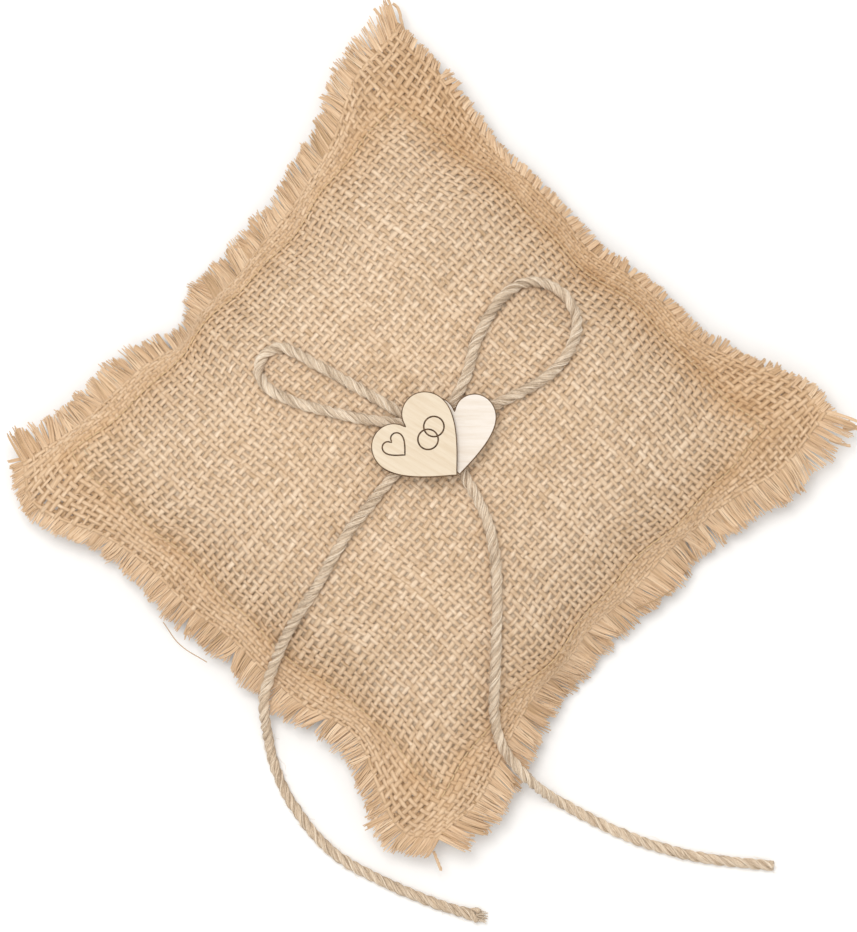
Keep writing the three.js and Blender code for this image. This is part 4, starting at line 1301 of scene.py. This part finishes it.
# ---------------------------------------------------------------- seam stitches
def stitch_tree():
    """Geometry nodes: a row of short bent stitches along a line."""
    tree = bpy.data.node_groups.new("row of stitches", "GeometryNodeTree")
    for label, kind, value in (("Line", "NodeSocketGeometry", None), ("Pitch", "NodeSocketFloat", 0.003),
                               ("Length", "NodeSocketFloat", 0.0024),
                               ("Thickness", "NodeSocketFloat", 0.0006),
                               ("Seed", "NodeSocketInt", 3), ("Finish", "NodeSocketMaterial", None)):
        socket = tree.interface.new_socket(label, in_out="INPUT", socket_type=kind)
        if value is not None:
            socket.default_value = value
    tree.interface.new_socket("Stitches", in_out="OUTPUT", socket_type="NodeSocketGeometry")
    n = Nodes(tree)
    given = tree.nodes.new("NodeGroupInput").outputs
    end = tree.nodes.new("NodeGroupOutput").inputs
    lines = n.add("GeometryNodeMeshToCurve", Mesh=given["Line"])
    spots = n.add("GeometryNodeCurveToPoints", {"mode": "LENGTH"}, Curve=lines.outputs[0],
                  Length=given["Pitch"])
    halves = n.math("MULTIPLY", given["Length"], 0.5)
    minus = n.math("MULTIPLY", given["Length"], -0.5)
    sag = n.math("MULTIPLY", given["Thickness"], 0.55)
    arc = n.add("GeometryNodeCurveQuadraticBezier")
    arc.inputs["Resolution"].default_value = 5
    for label, x, z in (("Start", minus, None), ("End", halves, None), ("Middle", None, sag)):
        point = n.add("ShaderNodeCombineXYZ")
        if x is not None:
            n.feed(point.inputs["Z"], x)
        if z is not None:
            n.feed(point.inputs["X"], z)
        n.feed(arc.inputs[label], point.outputs[0])
    ring = n.add("GeometryNodeCurvePrimitiveCircle", {"mode": "RADIUS"})
    ring.inputs["Resolution"].default_value = 6
    n.feed(ring.inputs["Radius"], n.math("MULTIPLY", given["Thickness"], 0.5))
    body = tree.nodes.new("GeometryNodeCurveToMesh")
    n.feed(body.inputs["Curve"], arc.outputs[0])
    n.feed(body.inputs["Profile Curve"], ring.outputs[0])
    body.inputs["Fill Caps"].default_value = True
    jolt = n.add("FunctionNodeRandomValue", {"data_type": "FLOAT"})
    jolt.inputs[2].default_value = 0.9
    jolt.inputs[3].default_value = 1.12
    n.feed(jolt.inputs["Seed"], given["Seed"])
    placed = n.add("GeometryNodeInstanceOnPoints", Points=spots.outputs[0], Instance=body.outputs[0],
                   Rotation=spots.outputs["Rotation"], Scale=jolt.outputs[1])
    whole = n.add("GeometryNodeRealizeInstances", Geometry=placed.outputs[0])
    smooth = n.add("GeometryNodeSetShadeSmooth", Geometry=whole.outputs[0])
    painted = n.add("GeometryNodeSetMaterial", Geometry=smooth.outputs[0], Material=given["Finish"])
    n.feed(end[0], painted.outputs[0])
    return tree


def seam_stitches(name, layer, at, lift, pitch, length, thickness, finish, node):
    """A closed row of stitches round the cushion at one cloth coordinate."""
    side = np.linspace(-at, at, 120)
    rest = np.full(120, at)
    u = np.concatenate([side, rest, side[::-1], -rest])
    v = np.concatenate([-rest, side, rest, side[::-1]])
    p, _, _, normal = layer.frame(u, v)
    line = p + normal * lift
    mesh = bpy.data.meshes.new("seam line")
    count = len(line)
    mesh.from_pydata(line * MM, [(k, (k + 1) % count) for k in range(count)], [])
    source = bpy.data.objects.new("seam line", mesh)
    bpy.context.scene.collection.objects.link(source)
    values = {"Pitch": pitch * MM, "Length": length * MM, "Thickness": thickness * MM, "Seed": 3,
              "Finish": finish}
    piece = apply_tree(source, bpy.data.node_groups["row of stitches"], values, name)
    corner = np.empty(len(piece.data.loops), np.int32)
    piece.data.loops.foreach_get("vertex_index", corner)
    spots = np.empty(len(piece.data.vertices) * 3, np.float32)
    piece.data.vertices.foreach_get("co", spots)
    spots = spots.reshape(-1, 3)[corner]
    set_map(piece.data, "run", np.stack([spots[:, 0] + spots[:, 1], spots[:, 2] + spots[:, 0]], 1))
    set_mask(piece.data, "tone", np.full(len(piece.data.vertices), 0.5))
    return settle(piece, (node,))


# ---------------------------------------------------------------- hearts and glue
def heart_outline(width, count):
    """Half of the heart as three smooth arcs from the notch to the point, mirrored, anticlockwise."""
    height = width * HEART_SHAPE
    arcs = [((0, 0.299), (0.05, 0.424), (0.24, 0.5), (0.48, 0.5)),
            ((0.48, 0.5), (0.77, 0.5), (1, 0.368), (1, 0.208)),
            ((1, 0.208), (1, -0.017), (0.533, -0.26), (0, -0.5))]
    points = []
    for a, b, c, d in arcs:
        for t in np.linspace(0, 1, count, endpoint=False):
            s = 1 - t
            points.append(tuple(s ** 3 * a[k] + 3 * s * s * t * b[k] + 3 * s * t * t * c[k] + t ** 3 * d[k]
                                for k in (0, 1)))
    right = [(x * width / 2, y * height) for x, y in points]
    left = [(-x, y) for x, y in right[:0:-1]]
    outline = np.array(right + [(0.0, -0.5 * height)] + left)
    ahead = np.roll(outline, -1, 0)
    if np.sum(outline[:, 0] * ahead[:, 1] - ahead[:, 0] * outline[:, 1]) < 0:
        outline = outline[::-1]
    return outline


def offset_outline(points, distance):
    """The outline moved inwards by distance."""
    ahead = unit(np.roll(points, -1, 0) - np.roll(points, 1, 0))
    inward = np.stack([-ahead[:, 1], ahead[:, 0]], axis=1)
    if np.sum(inward * (points.mean(0) - points)) < 0:
        inward = -inward
    return points + inward * distance


def prism(outline, low, high, hole=None):
    """A bmesh solid from an outline, or a ring between two outlines."""
    mesh = bmesh.new()
    if hole is None:
        layers = [(outline, low), (outline, high)]
    else:
        layers = [(outline, low), (outline, high), (hole, high), (hole, low)]
    rings = [[mesh.verts.new((x, y, z)) for x, y in line] for line, z in layers]
    if hole is None:
        mesh.faces.new(rings[0][::-1])
        mesh.faces.new(rings[1])
    bridge(mesh, rings, hole is not None)
    bmesh.ops.recalc_face_normals(mesh, faces=mesh.faces)
    return mesh


def bridge(mesh, rings, closed):
    """Side faces between rings of corners, one after the other."""
    count = len(rings[0])
    for a in range(len(rings) if closed else len(rings) - 1):
        b = (a + 1) % len(rings)
        for k in range(count):
            mesh.faces.new((rings[a][k], rings[a][(k + 1) % count], rings[b][(k + 1) % count], rings[b][k]))


def plate(outline, thick):
    """A thin plate with both rims rounded a little."""
    mesh = bmesh.new()
    steps = ((0.22, 0.0), (0.06, 0.10), (0.0, 0.30), (0.0, thick - 0.34), (0.10, thick - 0.10), (0.34, thick))
    rings = [[mesh.verts.new((x, y, z)) for x, y in offset_outline(outline, inset)] for inset, z in steps]
    mesh.faces.new(rings[0][::-1])
    mesh.faces.new(rings[-1])
    bridge(mesh, rings, False)
    bmesh.ops.recalc_face_normals(mesh, faces=mesh.faces)
    return mesh


def to_object(shape, name):
    """An object from a bmesh shape."""
    mesh = bpy.data.meshes.new(name)
    shape.to_mesh(mesh)
    shape.free()
    thing = bpy.data.objects.new(name, mesh)
    bpy.context.scene.collection.objects.link(thing)
    return thing


def cut_heart(name, sizes, marks, face, edge, groove, node):
    """A thin wooden heart with softened, scorched edges and burnt lines cut into its face."""
    outline = heart_outline(sizes["width"], 22)
    heart = to_object(plate(outline, HEART_WOOD), name)
    cutters = []
    for shape, hole in marks:
        cutter = to_object(prism(shape, HEART_WOOD - ENGRAVING_DEPTH, HEART_WOOD + 0.4, hole), "cutter")
        cutters.append(cutter)
        cut = heart.modifiers.new("groove", "BOOLEAN")
        cut.operation = "DIFFERENCE"
        cut.solver = "EXACT"
        cut.object = cutter
    view = bpy.context.evaluated_depsgraph_get()
    mesh = bpy.data.meshes.new_from_object(heart.evaluated_get(view), depsgraph=view)
    heart.modifiers.clear()
    for cutter in cutters:
        bpy.data.objects.remove(cutter)
    bpy.data.objects.remove(heart)
    mesh.materials.clear()
    for material in (face, edge, groove):
        mesh.materials.append(material)
    for polygon in mesh.polygons:
        z = polygon.center.z
        far = np.min(np.linalg.norm(outline - np.array([polygon.center.x, polygon.center.y]), axis=1))
        on_top = z > HEART_WOOD - 0.01 and polygon.normal.z > 0.9
        if on_top or z < 0.01:
            polygon.material_index = 0
        elif far > 0.9:
            polygon.material_index = 2
        else:
            polygon.material_index = 1
    angle = math.radians(sizes["turn"])
    place = sizes["place"]
    for vertex in mesh.vertices:
        x, y, z = vertex.co
        vertex.co = ((place[0] + x * math.cos(angle) - y * math.sin(angle)) * MM,
                     (place[1] + x * math.sin(angle) + y * math.cos(angle)) * MM, (sizes["low"] + z) * MM)
    mesh.shade_flat()
    piece = bpy.data.objects.new(name, mesh)
    bpy.context.scene.collection.objects.link(piece)
    return settle(piece, (node,))


def circle(x, y, radius, count=40):
    """A round outline."""
    angle = np.arange(count) / count * 2 * np.pi
    return np.stack([x + radius * np.cos(angle), y + radius * np.sin(angle)], axis=1)


def engraved_marks():
    """A small heart outline and two linked rings."""
    small = heart_outline(SMALL_HEART_WIDTH, 9) + np.array(SMALL_HEART_PLACE)
    marks = [(small, offset_outline(small, SMALL_HEART_LINE))]
    turn = math.radians(RINGS_TURN)
    for side in (-1, 1):
        x = RINGS_PLACE[0] + side * RING_SPACING / 2 * math.cos(turn)
        y = RINGS_PLACE[1] + side * RING_SPACING / 2 * math.sin(turn)
        marks.append((circle(x, y, RING_RADIUS + RING_LINE / 2), circle(x, y, RING_RADIUS - RING_LINE / 2)))
    return marks


def glue_spot(node, place, low, finish, seed):
    """A pressed drop of glue with a wavy rim."""
    rng = np.random.default_rng(seed)
    round_it = 32
    wave = slow_noise(rng, 1, round_it + 1, 9)[0][:round_it]
    wave = wave * np.sin(np.linspace(0, np.pi, round_it))
    verts, faces = [], []
    bulge = [(0.0, 0.90), (0.18, 1.0), (0.5, 1.03), (0.82, 1.0), (1.0, 0.90)]
    for share, grow in bulge:
        for k in range(round_it):
            angle = k / round_it * 2 * math.pi
            radius = GLUE_RADIUS * grow * (1 + 0.05 * wave[k])
            x = place[0] + radius * math.cos(angle)
            y = place[1] + radius * math.sin(angle)
            verts.append((x * MM, y * MM, (low + GLUE_THICK * share) * MM))
    for ring in range(len(bulge) - 1):
        for k in range(round_it):
            a, b = ring * round_it + k, ring * round_it + (k + 1) % round_it
            faces.append((a, b, b + round_it, a + round_it))
    faces.append(tuple(range(round_it - 1, -1, -1)))
    faces.append(tuple(range((len(bulge) - 1) * round_it, len(bulge) * round_it)))
    return add_piece(node + "_spot", verts, faces, [finish], (node,), smooth=False)


# ---------------------------------------------------------------- putting it together
def make_panels(top, bottom, finish):
    """Both hessian panels, thread by thread, with their fringe and loose fibres."""
    for seed, which in ((21, "weft"), (22, "warp")):
        woven(top, which, "front_burlap_" + which, finish[which], "front_burlap", ("front_panel",),
                        seed, 6)
    for seed, which in ((23, "weft"), (24, "warp")):
        woven(bottom, which, "back_burlap_" + which, finish[which], "back_burlap", ("back_panel",),
                        seed, 5, BACK_SHIFT)
    fringe(top, "front_fringe", 31, finish["fringe"], 0.9)
    fringe(bottom, "back_fringe", 32, finish["fringe"], 0.35, BACK_SHIFT)
    stray_threads(finish["fringe"])
    surface_hairs(top, "front_loose_fibres", 5200, 33, finish["warp"])


def make_stuffing(front, back, finish):
    """The inner cotton bag and the fibre in it."""
    bag = bag_mesh("inner_bag", front, back, -0.02, 0.60, 40, 0.5, finish["cotton"],
                   ("liner_front", "liner_back"))
    filling = bag_mesh("loose_filling", front, back, 0.07, 3.2, 3, 0.0, finish["wadding"],
                       ("fibre_filling",))


def make_stitches(top, bottom, finish):
    """The lock stitches of the panels' seam, and the inner bag's own row."""
    seam_stitches("upper_seam_stitches", top, SEAM_AT + 0.003, 0.45, 3.0, 2.3, 0.55, finish["thread"],
                  "needle_thread")
    seam_stitches("lower_seam_stitches", bottom, SEAM_AT + 0.003, 0.45, 3.0, 2.3, 0.55, finish["thread"],
                  "bobbin_thread")
    seam_stitches("bag_seam_stitches", bottom, SEAM_AT - 0.03, -1.6, 2.5, 1.9, 0.45, finish["lining_thread"],
                  "liner_thread")


def make_bow(top, finish):
    """The four lengths of twine and the knot between them."""
    twine_piece("left_loop", LEFT_LOOP, top, "bow_loop_left", 41, finish["twine"])
    twine_piece("right_loop", RIGHT_LOOP, top, "bow_loop_right", 42, finish["twine"])
    twine_piece("left_tail", LEFT_TAIL, top, "tail_left", 43, finish["twine"], opened=TAIL_OPENED)
    twine_piece("right_tail", RIGHT_TAIL, top, "tail_right", 44, finish["twine"])
    knot_turns(finish["twine"])


def make_hearts(finish):
    """Both wooden hearts and the three drops of glue."""
    for seed, (node, place, low) in enumerate(GLUE_SPOTS, start=1):
        glue_spot(node, place, low, finish["glue"], seed)
    cut_heart("plain_wooden_heart", PLAIN_HEART, [], finish["pale_wood"], finish["scorched"], finish["burnt"],
              "plain_heart")
    cut_heart("engraved_wooden_heart", ENGRAVED_HEART, engraved_marks(), finish["cream_wood"],
              finish["scorched"], finish["burnt"], "engraved_heart")


def build():
    """The whole pillow in its studio."""
    look_down()
    finish = make_finishes()
    studio()
    strand_tree()
    stitch_tree()
    front, back = cushion_shape()
    top, bottom = Layer(front, 1), Layer(back, -1)
    make_panels(top, bottom, finish)
    make_stuffing(front, back, finish)
    make_stitches(top, bottom, finish)
    make_bow(top, finish)
    make_hearts(finish)


build()
